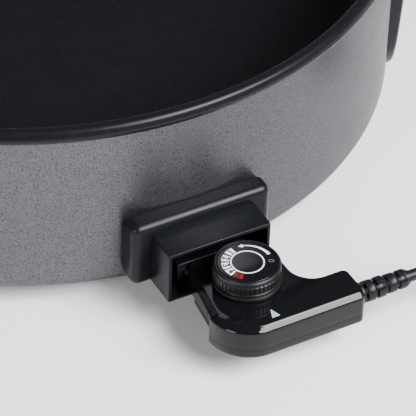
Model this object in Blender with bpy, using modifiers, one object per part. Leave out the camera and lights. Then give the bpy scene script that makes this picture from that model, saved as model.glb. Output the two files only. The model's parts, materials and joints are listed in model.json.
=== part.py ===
"""Round electric griddle pan with a plug-in thermostat control, modelled as separate parts.

Units are metres and +Z is up. The pan stands on the plane z = 0. The connector socket faces -Y and
the handles point along +X and -X. Distances written as "out" are measured from the pan's axis
towards -Y.
"""
import math

import bmesh
import bpy
from mathutils import Euler, Vector

# ---------------------------------------------------------------- driving dimensions
AXIS_Y = 0.0395            # the pan's axis, so that the object's box is centred on the origin
GAP = 0.0003               # air between touching parts
TURN_STEPS = 60            # sides of the large turned parts
SMALL_STEPS = 28           # sides of the small turned parts

# pan
SHELL_BOTTOM_Z = 0.0102
SHELL_TOP_Z = 0.1070
SHELL_BOTTOM_R = 0.2022
SHELL_TOP_R = 0.2032
SHELL_WALL = 0.0010
PAN_FLOOR_Z = 0.0525
PAN_WALL = 0.0022
PAN_CORNER = 0.0260
PAN_FLOOR = 0.0030
RIM_Z = 0.1110
RIM_R = 0.2060
BASE_R = 0.1960
ELEMENT_R = 0.1200
ELEMENT_TUBE_R = 0.0033
ELEMENT_Z = 0.0459

# connector socket
SHROUD_OUT = 0.2310
SHROUD_HALF_W = 0.0288
SHROUD_Z = (0.0175, 0.0477)
SHROUD_WALL = 0.0020
FLANGE_OUT = 0.2130
FLANGE_HALF_W = 0.0390
FLANGE_Z = (0.0167, 0.0546)
SHROUD_BACK_OUT = 0.2062
PIN_Z = 0.0268
PIN_X = 0.0120
PIN_R = 0.0024

# legs and handles
LEG_SPAN_DEG = 32.0
LEG_TOP_Z = 0.0920
LEG_PAD = 0.0018
GRIP_Z = (0.0640, 0.0790)
GRIP_REACH = 0.2515

# plug-in control
KNOB_X = 0.0052
KNOB_OUT = 0.2493
DECK_Z = 0.0334
CONTROL_BOTTOM_Z = 0.0147
PARTING_Z = 0.0207
CASE_WALL = 0.0020
CASE_END = 0.0484
COVER_WAIST = -0.0262
BASE_WAIST = -0.0244

# cord
CORD_R = 0.00315
CORD_OUT = 0.2743
CORD_EXIT_Z = 0.0240
RELIEF_LENGTH = 0.0300
COIL_X = 0.2480
COIL_Y = -0.1900
COIL_INNER_R = 0.0220
COIL_OUTER_R = 0.0496
COIL_Z = (0.0006, 0.0137)
PLUG_X = 0.2941
PLUG_Z = 0.0182

COLOURS = {
    "shell_paint": ((0.30, 0.29, 0.30), 0.42, 0.55),
    "black_nonstick": ((0.016, 0.016, 0.019), 0.45, 0.0),
    "black_bakelite": ((0.028, 0.029, 0.033), 0.42, 0.0),
    "gloss_black": ((0.008, 0.008, 0.010), 0.08, 0.0),
    "steel": ((0.56, 0.57, 0.58), 0.32, 1.0),
    "zinc_plate": ((0.50, 0.50, 0.49), 0.40, 1.0),
    "aluminium": ((0.72, 0.73, 0.74), 0.38, 1.0),
    "brass": ((0.78, 0.60, 0.28), 0.30, 1.0),
    "ceramic": ((0.80, 0.78, 0.72), 0.60, 0.0),
    "rubber": ((0.020, 0.020, 0.022), 0.80, 0.0),
    "cord_vinyl": ((0.022, 0.022, 0.026), 0.50, 0.0),
    "marker_blue": ((0.62, 0.80, 0.90), 0.45, 0.0),
    "dial_print": ((0.012, 0.014, 0.024), 0.35, 0.0),
    "wire_brown": ((0.20, 0.07, 0.03), 0.50, 0.0),
    "wire_blue": ((0.04, 0.10, 0.35), 0.50, 0.0),
}


# ---------------------------------------------------------------- scene and materials
def clear_scene():
    for obj in list(bpy.data.objects):
        bpy.data.objects.remove(obj, do_unlink=True)


def make_collection(name):
    collection = bpy.data.collections.new(name)
    bpy.context.scene.collection.children.link(collection)
    return collection


def make_material(name):
    colour, roughness, metallic = COLOURS[name]
    material = bpy.data.materials.new(name)
    material.use_nodes = True
    shader = material.node_tree.nodes["Principled BSDF"]
    shader.inputs["Base Color"].default_value = (*colour, 1.0)
    shader.inputs["Roughness"].default_value = roughness
    shader.inputs["Metallic"].default_value = metallic
    material.diffuse_color = (*colour, 1.0)
    return material


clear_scene()
PARTS = make_collection("electric_griddle")
CUTTERS = make_collection("cutters")
MATERIALS = {name: make_material(name) for name in COLOURS}


def make_empty(name, parent=None, location=(0, 0, 0)):
    empty = bpy.data.objects.new(name, None)
    empty.empty_display_size = 0.02
    PARTS.objects.link(empty)
    empty.parent = parent
    empty.location = location
    return empty


PAN_AXIS = make_empty("pan_axis", None, (0, AXIS_Y, 0))
CONTROL_AXIS = make_empty("control_axis", PAN_AXIS, (KNOB_X, -KNOB_OUT, 0))
KNOB_AXIS = make_empty("knob_axis", CONTROL_AXIS, (0, 0, 0))


# ---------------------------------------------------------------- shape helpers
def add_object(name, mesh, material, parent=PAN_AXIS, location=(0, 0, 0), rotation=(0, 0, 0)):
    obj = bpy.data.objects.new(name, mesh)
    PARTS.objects.link(obj)
    obj.parent = parent
    obj.location = location
    obj.rotation_euler = rotation
    if not mesh.materials:
        mesh.materials.append(MATERIALS[material])
    return obj


def shade_round(obj, angle_deg=32.0):
    obj.data.shade_smooth()
    obj.data.set_sharp_from_angle(angle=math.radians(angle_deg))


def box_mesh(name, low, high):
    work = bmesh.new()
    bmesh.ops.create_cube(work, size=1.0)
    size = Vector(high) - Vector(low)
    middle = (Vector(high) + Vector(low)) / 2
    bmesh.ops.scale(work, vec=size, verts=work.verts)
    bmesh.ops.translate(work, vec=middle, verts=work.verts)
    mesh = bpy.data.meshes.new(name)
    work.to_mesh(mesh)
    work.free()
    return mesh


def add_box(name, low, high, material, parent=PAN_AXIS, bevel=0.0, segments=2):
    obj = add_object(name, box_mesh(name, low, high), material, parent)
    if bevel:
        add_bevel(obj, bevel, segments)
    return obj


def add_bevel(obj, width, segments=2, angle_deg=40.0):
    bevel = obj.modifiers.new("rounded_edges", "BEVEL")
    bevel.width = width
    bevel.segments = segments
    bevel.limit_method = "ANGLE"
    bevel.angle_limit = math.radians(angle_deg)
    return bevel


def cylinder_mesh(name, radius, low, high, steps=SMALL_STEPS, top_radius=None):
    """A cylinder or cone along Z between two heights."""
    work = bmesh.new()
    bmesh.ops.create_cone(
        work,
        cap_ends=True,
        segments=steps,
        radius1=radius,
        radius2=radius if top_radius is None else top_radius,
        depth=high - low,
    )
    bmesh.ops.translate(work, vec=(0, 0, (low + high) / 2), verts=work.verts)
    mesh = bpy.data.meshes.new(name)
    work.to_mesh(mesh)
    work.free()
    return mesh


ALONG_OUT = (math.radians(90), 0, 0)      # turns +Z to -Y, which is "out"
ALONG_X = (0, math.radians(90), 0)        # turns +Z to +X


def add_cylinder(name, radius, low, high, material, parent=PAN_AXIS, location=(0, 0, 0),
                 rotation=(0, 0, 0), steps=SMALL_STEPS):
    obj = add_object(name, cylinder_mesh(name, radius, low, high, steps), material, parent,
                     location, rotation)
    shade_round(obj)
    return obj


def profile_mesh(name, points, closed):
    """A profile in the XZ plane as a wire, ready for a Screw modifier."""
    mesh = bpy.data.meshes.new(name)
    edges = [(i, i + 1) for i in range(len(points) - 1)]
    if closed:
        edges.append((len(points) - 1, 0))
    mesh.from_pydata([(r, 0, z) for r, z in points], edges, [])
    return mesh


def add_turned(name, points, material, closed=False, steps=TURN_STEPS, parent=PAN_AXIS,
               location=(0, 0, 0), rotation=(0, 0, 0)):
    """A turned part. An open profile starts and ends on the axis; a closed one is a ring."""
    obj = add_object(name, profile_mesh(name, points, closed), material, parent, location, rotation)
    screw = obj.modifiers.new("turn", "SCREW")
    screw.axis = "Z"
    screw.steps = steps
    screw.render_steps = steps
    screw.use_merge_vertices = True
    screw.merge_threshold = 0.00001
    screw.use_smooth_shade = True
    return obj


def bake(obj):
    """Turns an object's evaluated shape into its own welded mesh, so that it can be cut."""
    bpy.context.view_layer.update()
    evaluated = obj.evaluated_get(bpy.context.evaluated_depsgraph_get())
    mesh = bpy.data.meshes.new_from_object(evaluated)
    work = bmesh.new()
    work.from_mesh(mesh)
    bmesh.ops.remove_doubles(work, verts=work.verts, dist=0.000005)
    bmesh.ops.recalc_face_normals(work, faces=work.faces)
    work.to_mesh(mesh)
    work.free()
    mesh.name = obj.name
    return mesh


def outline_mesh(name, points, low, high):
    """A flat outline in XY between two heights, by way of a filled 2D curve."""
    curve = bpy.data.curves.new(name, "CURVE")
    curve.dimensions = "2D"
    curve.fill_mode = "BOTH"
    curve.extrude = (high - low) / 2
    spline = curve.splines.new("POLY")
    spline.points.add(len(points) - 1)
    for point, (x, y) in zip(spline.points, points):
        point.co = (x, y, 0, 1)
    spline.use_cyclic_u = True
    holder = bpy.data.objects.new(name, curve)
    PARTS.objects.link(holder)
    mesh = bake(holder)
    bpy.data.objects.remove(holder, do_unlink=True)
    bpy.data.curves.remove(curve)
    for vertex in mesh.vertices:
        vertex.co.z += (low + high) / 2
    return mesh


def add_outline(name, points, low, high, material, parent=PAN_AXIS, location=(0, 0, 0),
                rotation=(0, 0, 0)):
    return add_object(name, outline_mesh(name, points, low, high), material, parent, location,
                      rotation)


def make_cutter(name, mesh, parent=PAN_AXIS, location=(0, 0, 0), rotation=(0, 0, 0)):
    obj = bpy.data.objects.new("cut_" + name, mesh)
    CUTTERS.objects.link(obj)
    obj.parent = parent
    obj.location = location
    obj.rotation_euler = rotation
    obj.display_type = "WIRE"
    obj.hide_render = True
    return obj


def cut(obj, cutter, operation="DIFFERENCE"):
    boolean = obj.modifiers.new("cut", "BOOLEAN")
    boolean.operation = operation
    boolean.object = cutter
    boolean.solver = "EXACT"
    return boolean


def drill(obj, radius, low, high, parent=PAN_AXIS, location=(0, 0, 0), rotation=(0, 0, 0),
          steps=SMALL_STEPS):
    mesh = cylinder_mesh("bore", radius, low, high, steps)
    cut(obj, make_cutter(f"{obj.name}_bore_{len(obj.modifiers)}", mesh, parent, location, rotation))


def arc(centre_x, centre_y, radius, start_deg, end_deg, steps):
    points = []
    for i in range(steps + 1):
        angle = math.radians(start_deg + (end_deg - start_deg) * i / steps)
        points.append((centre_x + radius * math.cos(angle), centre_y + radius * math.sin(angle)))
    return points


def add_tube(name, points, radius, material, parent=PAN_AXIS, resolution=2):
    curve = bpy.data.curves.new(name, "CURVE")
    curve.dimensions = "3D"
    curve.bevel_depth = radius
    curve.bevel_resolution = resolution
    curve.use_fill_caps = True
    curve.resolution_u = 1
    curve.render_resolution_u = 0
    spline = curve.splines.new("POLY")
    spline.points.add(len(points) - 1)
    for point, place in zip(spline.points, points):
        point.co = (*place, 1)
    obj = bpy.data.objects.new(name, curve)
    PARTS.objects.link(obj)
    obj.parent = parent
    curve.materials.append(MATERIALS[material])
    return obj


def smooth_path(route, step):
    """Points about one step apart on a Catmull-Rom curve through the route's points."""
    ends = [route[0] * 2 - route[1]] + route + [route[-1] * 2 - route[-2]]
    dense = []
    for a, b, c, d in zip(ends, ends[1:], ends[2:], ends[3:]):
        for i in range(24):
            t = i / 24
            dense.append(0.5 * (2 * b + (c - a) * t + (2 * a - 5 * b + 4 * c - d) * t * t
                                + (3 * b - a - 3 * c + d) * t * t * t))
    dense.append(route[-1])
    length = sum((q - p).length for p, q in zip(dense, dense[1:]))
    count = max(2, round(length / step))
    spacing = length / count
    path = [dense[0]]
    walked = 0.0
    for p, q in zip(dense, dense[1:]):
        piece = (q - p).length
        while walked + piece >= spacing * len(path) and len(path) < count:
            path.append(p.lerp(q, (spacing * len(path) - walked) / piece))
        walked += piece
    path.append(dense[-1])
    return path


# ---------------------------------------------------------------- pan
def shell_radius(z):
    share = (z - SHELL_BOTTOM_Z) / (SHELL_TOP_Z - SHELL_BOTTOM_Z)
    return SHELL_BOTTOM_R + share * (SHELL_TOP_R - SHELL_BOTTOM_R)


def make_outer_shell():
    corner = 0.0060
    low = SHELL_BOTTOM_Z
    profile = [(shell_radius(SHELL_TOP_Z), SHELL_TOP_Z), (shell_radius(low + corner), low + corner)]
    outer = shell_radius(low + corner) - corner
    profile += arc(outer, low + corner, corner, -22.5, -90, 3)
    profile += [(0.1880, low), (0.1880, low + SHELL_WALL)]
    profile += arc(outer, low + corner, corner - SHELL_WALL, -90, 0, 3)
    profile += [(shell_radius(SHELL_TOP_Z) - SHELL_WALL, SHELL_TOP_Z)]
    shell = add_turned("outer_shell", profile, "shell_paint", closed=True)
    window = box_mesh("window", (-0.0215, -0.21, 0.0190), (0.0215, -0.19, 0.0350))
    cut(shell, make_cutter("shell_window", window))
    for side in (-1, 1):
        drill(shell, 0.0026, 0.19, 0.21, location=(side * 0.0315, 0, 0.0400), rotation=ALONG_OUT)
        drill(shell, 0.0026, 0.19, 0.21, location=(0, 0, LEG_SCREW_Z), rotation=radial(side, 0))


def make_inner_pan():
    fillet = PAN_CORNER
    inside = [shell_radius(z) - SHELL_WALL - 0.0005 - PAN_WALL for z in (PAN_FLOOR_Z, RIM_Z)]
    profile = [(0, PAN_FLOOR_Z)]
    profile += arc(inside[0] - fillet, PAN_FLOOR_Z + fillet, fillet, -90, 0, 6)
    profile += [(inside[1], RIM_Z - 0.0022)]
    profile += [(inside[1] - 0.0008, RIM_Z + 0.0008), (inside[1] + 0.0006, RIM_Z + 0.0026)]
    profile += [(0.2024, RIM_Z + 0.0032), (0.2044, RIM_Z + 0.0026), (0.2056, RIM_Z + 0.0012)]
    profile += [(RIM_R, RIM_Z - 0.0006), (0.2055, RIM_Z - 0.0024), (0.2042, RIM_Z - 0.0034)]
    profile += [(0.2020, SHELL_TOP_Z + GAP), (inside[1] + PAN_WALL, SHELL_TOP_Z + GAP)]
    corner = fillet + PAN_FLOOR
    low = PAN_FLOOR_Z - PAN_FLOOR
    outside = inside[0] + PAN_WALL
    profile += arc(outside - corner, low + corner, corner, 0, -90, 6)
    profile += [(0, low)]
    add_turned("inner_pan", profile, "black_nonstick")


def make_base():
    low = SHELL_BOTTOM_Z + SHELL_WALL + GAP
    high = low + 0.0012
    plate = add_turned(
        "base_plate",
        [(BASE_R, high), (BASE_R, low), (0.0046, low), (0.0046, high)],
        "zinc_plate",
        closed=True,
        steps=48,
    )
    for i in range(6):
        angle = math.radians(60 * i + 20.3)
        drill(plate, 0.0060, 0.0, 0.03, location=(0.15 * math.cos(angle), 0.15 * math.sin(angle), 0),
              steps=10)
    add_cylinder("base_stud", 0.0040, 0.0062, PAN_FLOOR_Z - PAN_FLOOR - GAP, "steel", steps=16)
    nut = add_object("base_nut", cylinder_mesh("base_nut", 0.0075, low - GAP - 0.0036, low - GAP, 6),
                     "steel")
    drill(nut, 0.0043, 0.0, 0.02, steps=16)


def make_heating():
    low = PAN_FLOOR_Z - PAN_FLOOR - GAP - 2 * ELEMENT_TUBE_R - GAP - 0.0015
    add_turned(
        "heat_plate",
        [(0.1340, low + 0.0015), (0.1340, low), (0.0055, low), (0.0055, low + 0.0015)],
        "aluminium",
        closed=True,
        steps=48,
    )
    open_deg = math.degrees(math.asin(PIN_X / ELEMENT_R))
    ring = arc(0, 0, ELEMENT_R, -90 + open_deg, 270 - open_deg, 40)
    ends = ((0.1350, ELEMENT_Z), (0.1500, 0.0432), (0.1620, 0.0372), (0.1715, 0.0308),
            (0.1810, PIN_Z + 0.0004), (0.1905, PIN_Z))
    points = [(x, y, ELEMENT_Z) for x, y in ring]
    right = [(PIN_X, -out, z) for out, z in reversed(ends)]
    left = [(-PIN_X, -out, z) for out, z in ends]
    add_tube("heating_element", right + points + left, ELEMENT_TUBE_R, "steel")


def make_socket():
    """The moulded shroud that the control plugs into, and the terminals inside it."""
    shroud = add_box(
        "connector_shroud",
        (-FLANGE_HALF_W, -FLANGE_OUT, FLANGE_Z[0]),
        (FLANGE_HALF_W, -0.1900, FLANGE_Z[1]),
        "black_bakelite",
        bevel=0.0045,
        segments=3,
    )
    outer = box_mesh("shroud_box", (-SHROUD_HALF_W, -SHROUD_OUT, SHROUD_Z[0]),
                     (SHROUD_HALF_W, -0.2070, SHROUD_Z[1]))
    cut(shroud, make_cutter("shroud_box", outer), "UNION")
    inner = box_mesh(
        "shroud_inside",
        (-SHROUD_HALF_W + SHROUD_WALL, -0.2400, SHROUD_Z[0] + SHROUD_WALL),
        (SHROUD_HALF_W - SHROUD_WALL, -SHROUD_BACK_OUT, SHROUD_Z[1] - SHROUD_WALL),
    )
    cut(shroud, make_cutter("shroud_inside", inner))
    wall = cylinder_mesh("wall", SHELL_TOP_R + GAP, 0.0, 0.12, 180)
    cut(shroud, make_cutter("shroud_wall", wall))
    for side in (-1, 1):
        drill(shroud, 0.0060, 0.19, 0.22, location=(side * PIN_X, 0, PIN_Z), rotation=ALONG_OUT)
        drill(shroud, 0.0022, 0.19, 0.2095, location=(side * 0.0315, 0, 0.0400), rotation=ALONG_OUT)
    drill(shroud, 0.0054, 0.19, 0.22, location=(0, 0, PIN_Z), rotation=ALONG_OUT)

    bracket = add_box("shroud_bracket", (-0.0360, -0.1974, 0.0150), (0.0360, -0.1960, 0.0450),
                      "zinc_plate")
    for side, name in ((-1, "left"), (1, "right")):
        place = (side * PIN_X, 0, PIN_Z)
        drill(bracket, 0.0058, 0.19, 0.20, location=place, rotation=ALONG_OUT)
        drill(bracket, 0.0023, 0.19, 0.20, location=(side * 0.0315, 0, 0.0400), rotation=ALONG_OUT)
        add_cylinder("terminal_pin_" + name, PIN_R, 0.1908, 0.2230, "steel", location=place,
                     rotation=ALONG_OUT, steps=20)
        ring = [(0.0054, 0.0100), (0.0054, 0), (PIN_R + GAP, 0), (PIN_R + GAP, 0.0100)]
        add_turned("terminal_insulator_" + name, ring, "ceramic", closed=True, steps=24,
                   location=(side * PIN_X, -0.1975, PIN_Z), rotation=ALONG_OUT)
        screw = [(0, 0.0135), (0.0018, 0.0135), (0.0018, 0.0020), (0.0034, 0.0018), (0.0030, 0),
                 (0, 0)]
        add_turned("shroud_screw_" + name, screw, "steel", steps=16,
                   location=(side * 0.0315, -0.1937, 0.0400), rotation=ALONG_OUT)
    drill(bracket, 0.0053, 0.19, 0.20, location=(0, 0, PIN_Z), rotation=ALONG_OUT)
    well = [(0.0050, 0.0550), (0.0050, 0), (0.0, 0), (0, 0.0012), (0.0040, 0.0012), (0.0040, 0.0550)]
    add_turned("probe_well", well, "aluminium", closed=True, steps=24, location=(0, -0.1500, PIN_Z),
               rotation=ALONG_OUT)


# ---------------------------------------------------------------- legs and handles
HANDLE_SCREW_DEG = (-7.5, 7.5)
HANDLE_SCREW_Z = (GRIP_Z[0] + GRIP_Z[1]) / 2
LEG_SCREW_Z = 0.0360


def radial(side, azimuth):
    """The rotation that lays +Z along a radius of the pan, towards +X or -X and turned by azimuth."""
    return (math.radians(90), 0, math.radians(90 * side + azimuth))


def add_radial_screw(name, side, azimuth, z, head_out, length):
    rotation = radial(side, azimuth)
    profile = [(0, length), (0.0018, length), (0.0018, 0.0020), (0.0034, 0.0018), (0.0030, 0), (0, 0)]
    start = Euler(rotation).to_matrix() @ Vector((0, 0, head_out)) + Vector((0, 0, z))
    add_turned(name, profile, "steel", steps=12, location=start, rotation=rotation)


def leg_outline():
    """The leg moulding seen from the side: two feet, an arch between them, and rounded corners."""
    half = SHELL_TOP_R * math.sin(math.radians(LEG_SPAN_DEG))
    foot_out = half - 0.0170
    foot_in = half - 0.0440
    points = [(-half, 0.0300)]
    points += [(-half + 0.0020, 0.0170), (-half + 0.0080, 0.0070), (-foot_out, LEG_PAD + 0.0008)]
    points += [(-foot_out + 0.0030, LEG_PAD), (-foot_in - 0.0020, LEG_PAD)]
    points += [(-foot_in, LEG_PAD + 0.0010)]
    points += [(-foot_in + 0.0070, 0.0150), (-foot_in + 0.0180, 0.0240), (-foot_in + 0.0320, 0.0280)]
    mirror = [(-x, z) for x, z in reversed(points)]
    top = [(half, LEG_TOP_Z - 0.0120), (half - 0.0040, LEG_TOP_Z - 0.0035),
           (half - 0.0120, LEG_TOP_Z)]
    return points + mirror + top + [(-x, z) for x, z in reversed(top)]


def leg_ring():
    outer = [(0.2115, LEG_TOP_Z + 0.002), (0.2097, 0.0520), (0.2079, 0.0256), (0.2066, 0.0128),
             (0.2052, 0.0)]
    inner = [(0.1960, 0.0), (0.1960, LEG_TOP_Z + 0.002)]
    return outer + inner


def make_leg(name, side):
    leg = add_turned("leg_" + name, leg_ring(), "black_bakelite", closed=True)
    outline = outline_mesh("leg_outline", leg_outline(), 0.0900, 0.2600)
    turn = (math.radians(90), 0, math.radians(90 if side > 0 else -90))
    cut(leg, make_cutter("leg_outline_" + name, outline, rotation=turn), "INTERSECT")
    wall = [(0, 0.10), (SHELL_TOP_R + GAP, 0.10), (shell_radius(0.0162) + GAP, 0.0162)]
    wall += arc(shell_radius(0.0162) - 0.006, 0.0162, 0.0060 + GAP, -22.5, -90, 3)
    wall += [(0, 0.0162 - 0.0060 - GAP)]
    mould = bpy.data.objects.new("wall_copy", profile_mesh("wall_copy", wall, False))
    PARTS.objects.link(mould)
    screw = mould.modifiers.new("turn", "SCREW")
    screw.steps = 2 * TURN_STEPS
    screw.render_steps = 2 * TURN_STEPS
    screw.merge_threshold = 0.00001
    screw.use_merge_vertices = True
    mesh = bake(mould)
    bpy.data.objects.remove(mould, do_unlink=True)
    cut(leg, make_cutter("leg_wall_" + name, mesh))
    for azimuth in HANDLE_SCREW_DEG:
        place = {"location": (0, 0, HANDLE_SCREW_Z), "rotation": radial(side, azimuth), "steps": 16}
        drill(leg, 0.0023, 0.19, 0.22, **place)
        drill(leg, 0.0037, 0.19, 0.2064, **place)
        end = "front" if (azimuth < 0) == (side > 0) else "rear"
        add_radial_screw(f"handle_screw_{name}_{end}", side, azimuth, HANDLE_SCREW_Z, 0.2042, 0.0138)
    drill(leg, 0.0022, 0.19, 0.2072, location=(0, 0, LEG_SCREW_Z), rotation=radial(side, 0), steps=16)
    add_radial_screw("leg_screw_" + name, side, 0, LEG_SCREW_Z, 0.1990, 0.0075)
    for end in (-1, 1):
        half = SHELL_TOP_R * math.sin(math.radians(LEG_SPAN_DEG))
        y = end * (half - 0.0300)
        x = side * math.sqrt(0.2012 ** 2 - y ** 2)
        pad = f"foot_pad_{name}_{'front' if end < 0 else 'rear'}"
        add_cylinder(pad, 0.0032, 0.0, LEG_PAD - GAP, "rubber", location=(x, y, 0), steps=20)


def make_grip(name, side):
    """A bow handle with a finger opening, seen from above."""
    reach = GRIP_REACH
    outline = [(0.2050, -0.0640), (0.2150, -0.0630), (0.2270, -0.0580), (0.2390, -0.0500)]
    outline += [(0.2470, -0.0400), (reach - 0.0010, -0.0260), (reach, -0.0100)]
    outline += [(x, -y) for x, y in reversed(outline)]
    opening = [(0.2180, -0.0440), (0.2240, -0.0440), (0.2320, -0.0380), (0.2372, -0.0280)]
    opening += [(0.2388, -0.0120)]
    opening += [(x, -y) for x, y in reversed(opening)]
    if side < 0:
        outline = [(-x, y) for x, y in reversed(outline)]
        opening = [(-x, y) for x, y in reversed(opening)]
    grip = add_outline("handle_" + name, outline, GRIP_Z[0], GRIP_Z[1], "black_bakelite")
    hole = outline_mesh("finger_opening", opening, GRIP_Z[0] - 0.01, GRIP_Z[1] + 0.01)
    cut(grip, make_cutter("finger_opening_" + name, hole))
    leg_face = cylinder_mesh("leg_face", 0.2109 + GAP, 0.05, 0.10, 180)
    cut(grip, make_cutter("leg_face_" + name, leg_face))
    add_bevel(grip, 0.0030, 2)
    for azimuth in HANDLE_SCREW_DEG:
        drill(grip, 0.0022, 0.20, 0.2190, location=(0, 0, HANDLE_SCREW_Z),
              rotation=radial(side, azimuth), steps=16)


# ---------------------------------------------------------------- plug-in control
def control_outline(inset=0.0, waist=COVER_WAIST):
    """The control's plan, measured from the knob's axis, with +Y towards the pan."""
    s = inset
    shoulder_deg = 180 + math.degrees(math.asin((0.0003 + s) / (0.0222 - s)))
    rear = 0.0253 - s
    step = 0.0177 - s
    front = -0.0357 + s
    end = CASE_END - s
    left_rear = -0.0235 + s
    right = 0.0227 - s
    points = arc(left_rear + 0.0035, rear - 0.0035, 0.0035, 90, 180, 3)
    points += [(waist + s, -0.0118 - s), (waist + s, -0.0135 - s)]
    points += arc(-0.0063, -0.0137, 0.0222 - s, shoulder_deg, 270, 8)
    points += arc(end - 0.0025, front + 0.0025, 0.0025, -90, 0, 2)
    points += arc(end - 0.0025, -0.0145 - s - 0.0025, 0.0025, 0, 90, 2)
    points += arc(0.0360, -0.0012, 0.0133 + s, -90, -180, 6)
    points += arc(right - 0.0040, step - 0.0040, 0.0040, 0, 60, 2)
    points += arc(0.0195 - s - 0.0030, rear - 0.0030, 0.0030, 0, 90, 2)
    return points


def round_top_edges(mesh, top, width):
    work = bmesh.new()
    work.from_mesh(mesh)
    edges = [
        e for e in work.edges
        if all(abs(v.co.z - top) < 1e-6 for v in e.verts)
        and any(abs(f.normal.z) < 0.5 for f in e.link_faces)
    ]
    bmesh.ops.bevel(work, geom=edges, offset=width, offset_type="OFFSET", segments=2, profile=0.5,
                    affect="EDGES")
    work.to_mesh(mesh)
    work.free()


def shroud_clearance(name):
    """Cuts the lower corner away, so that the case only enters the shroud at its own height."""
    low = box_mesh(name, (-0.05, 0.0165, 0.0), (0.05, 0.06, SHROUD_Z[0] + SHROUD_WALL + 0.0006))
    return make_cutter(name, low, CONTROL_AXIS)


CASE_SCREWS = ((-0.0175, -0.0200), (0.0270, -0.0308), (-0.0050, 0.0130))


def make_case():
    mesh = outline_mesh("control_cover", control_outline(), PARTING_Z + GAP / 2, DECK_Z)
    round_top_edges(mesh, DECK_Z, 0.0028)
    cover = add_object("control_cover", mesh, "gloss_black", CONTROL_AXIS)
    inside = outline_mesh("cover_inside", control_outline(CASE_WALL), 0.0, DECK_Z - CASE_WALL)
    cut(cover, make_cutter("cover_inside", inside, CONTROL_AXIS))
    drill(cover, 0.0036, 0.02, 0.05, CONTROL_AXIS)
    drill(cover, 0.0040, 0.030, 0.060, CONTROL_AXIS, (0, -0.0250, CORD_EXIT_Z), ALONG_X)
    cut(cover, shroud_clearance("cover_rear"))
    nose_window = box_mesh("nose_window", (-KNOB_X - 0.0165, 0.0200, 0.0215),
                           (-KNOB_X + 0.0165, 0.0300, 0.0310))
    cut(cover, make_cutter("nose_window", nose_window, CONTROL_AXIS))
    marker_bed = outline_mesh("marker_bed", marker_outline(0.0003), DECK_Z - 0.0004, DECK_Z + 0.001)
    cut(cover, make_cutter("marker_bed", marker_bed, CONTROL_AXIS))

    mesh = outline_mesh("control_base", control_outline(0.0, BASE_WAIST), CONTROL_BOTTOM_Z, PARTING_Z - GAP / 2)
    base = add_object("control_base", mesh, "gloss_black", CONTROL_AXIS)
    inside = outline_mesh("base_inside", control_outline(CASE_WALL, BASE_WAIST),
                          CONTROL_BOTTOM_Z + CASE_WALL, 0.05)
    cut(base, make_cutter("base_inside", inside, CONTROL_AXIS))
    rear = box_mesh("base_rear", (-0.05, 0.0165, 0.0), (0.05, 0.06, 0.05))
    cut(base, make_cutter("base_rear", rear, CONTROL_AXIS))
    drill(base, 0.0040, 0.030, 0.060, CONTROL_AXIS, (0, -0.0250, CORD_EXIT_Z), ALONG_X)
    for i, (x, y) in enumerate(CASE_SCREWS):
        drill(base, 0.0020, 0.0, 0.05, CONTROL_AXIS, (x, y, 0), steps=16)
        drill(base, 0.0034, 0.0, CONTROL_BOTTOM_Z + 0.0015, CONTROL_AXIS, (x, y, 0), steps=16)
        profile = [(0, 0.0150), (0.0015, 0.0150), (0.0015, 0.0010), (0.0030, 0.0008), (0.0028, 0),
                   (0, 0)]
        add_turned(f"case_screw_{i + 1}", profile, "steel", steps=16, parent=CONTROL_AXIS,
                   location=(x, y, CONTROL_BOTTOM_Z + 0.0002))


def marker_outline(grow=0.0):
    """A small pointer that shows the dial's reading, aimed at the knob's axis."""
    base = -0.0300 - grow
    tip = -0.0245 + grow
    half = 0.0021 + grow
    return [(-half, base), (half, base), (0.0003, tip), (-0.0003, tip)]


def make_marker():
    add_outline("dial_marker", marker_outline(), DECK_Z - 0.00035, DECK_Z + 0.00015, "marker_blue",
                CONTROL_AXIS)


def make_nose():
    """The insulating block inside the shroud, with its contact sleeves, and the sensing probe."""
    rear = KNOB_OUT - 0.2085
    front = 0.0253 + GAP
    block = add_box(
        "socket_block",
        (-KNOB_X - 0.0200, front, 0.0202),
        (-KNOB_X + 0.0200, rear, DECK_Z - 0.0004),
        "black_bakelite",
        CONTROL_AXIS,
        bevel=0.0008,
        segments=1,
    )
    for side, name in ((-1, "left"), (1, "right")):
        place = (-KNOB_X + side * PIN_X, 0, PIN_Z)
        drill(block, 0.0044, -0.05, 0.0, CONTROL_AXIS, place, ALONG_OUT)
        ring = [(0.0041, 0), (0.0041, -0.0220), (0.0029, -0.0220), (0.0029, 0)]
        add_turned("contact_socket_" + name, ring, "brass", closed=True, steps=24,
                   parent=CONTROL_AXIS, location=(place[0], 0.0183, PIN_Z), rotation=ALONG_OUT)
    drill(block, 0.0036, -0.05, 0.0, CONTROL_AXIS, (-KNOB_X, 0, PIN_Z), ALONG_OUT)
    probe = [(0, 0.0), (0.0033, 0.0), (0.0033, -0.0590), (0.0028, -0.0610), (0.0015, -0.0620),
             (0, -0.0622)]
    add_turned("sensor_probe", probe, "steel", steps=24, parent=CONTROL_AXIS,
               location=(-KNOB_X, 0.0230, PIN_Z), rotation=ALONG_OUT)


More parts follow.
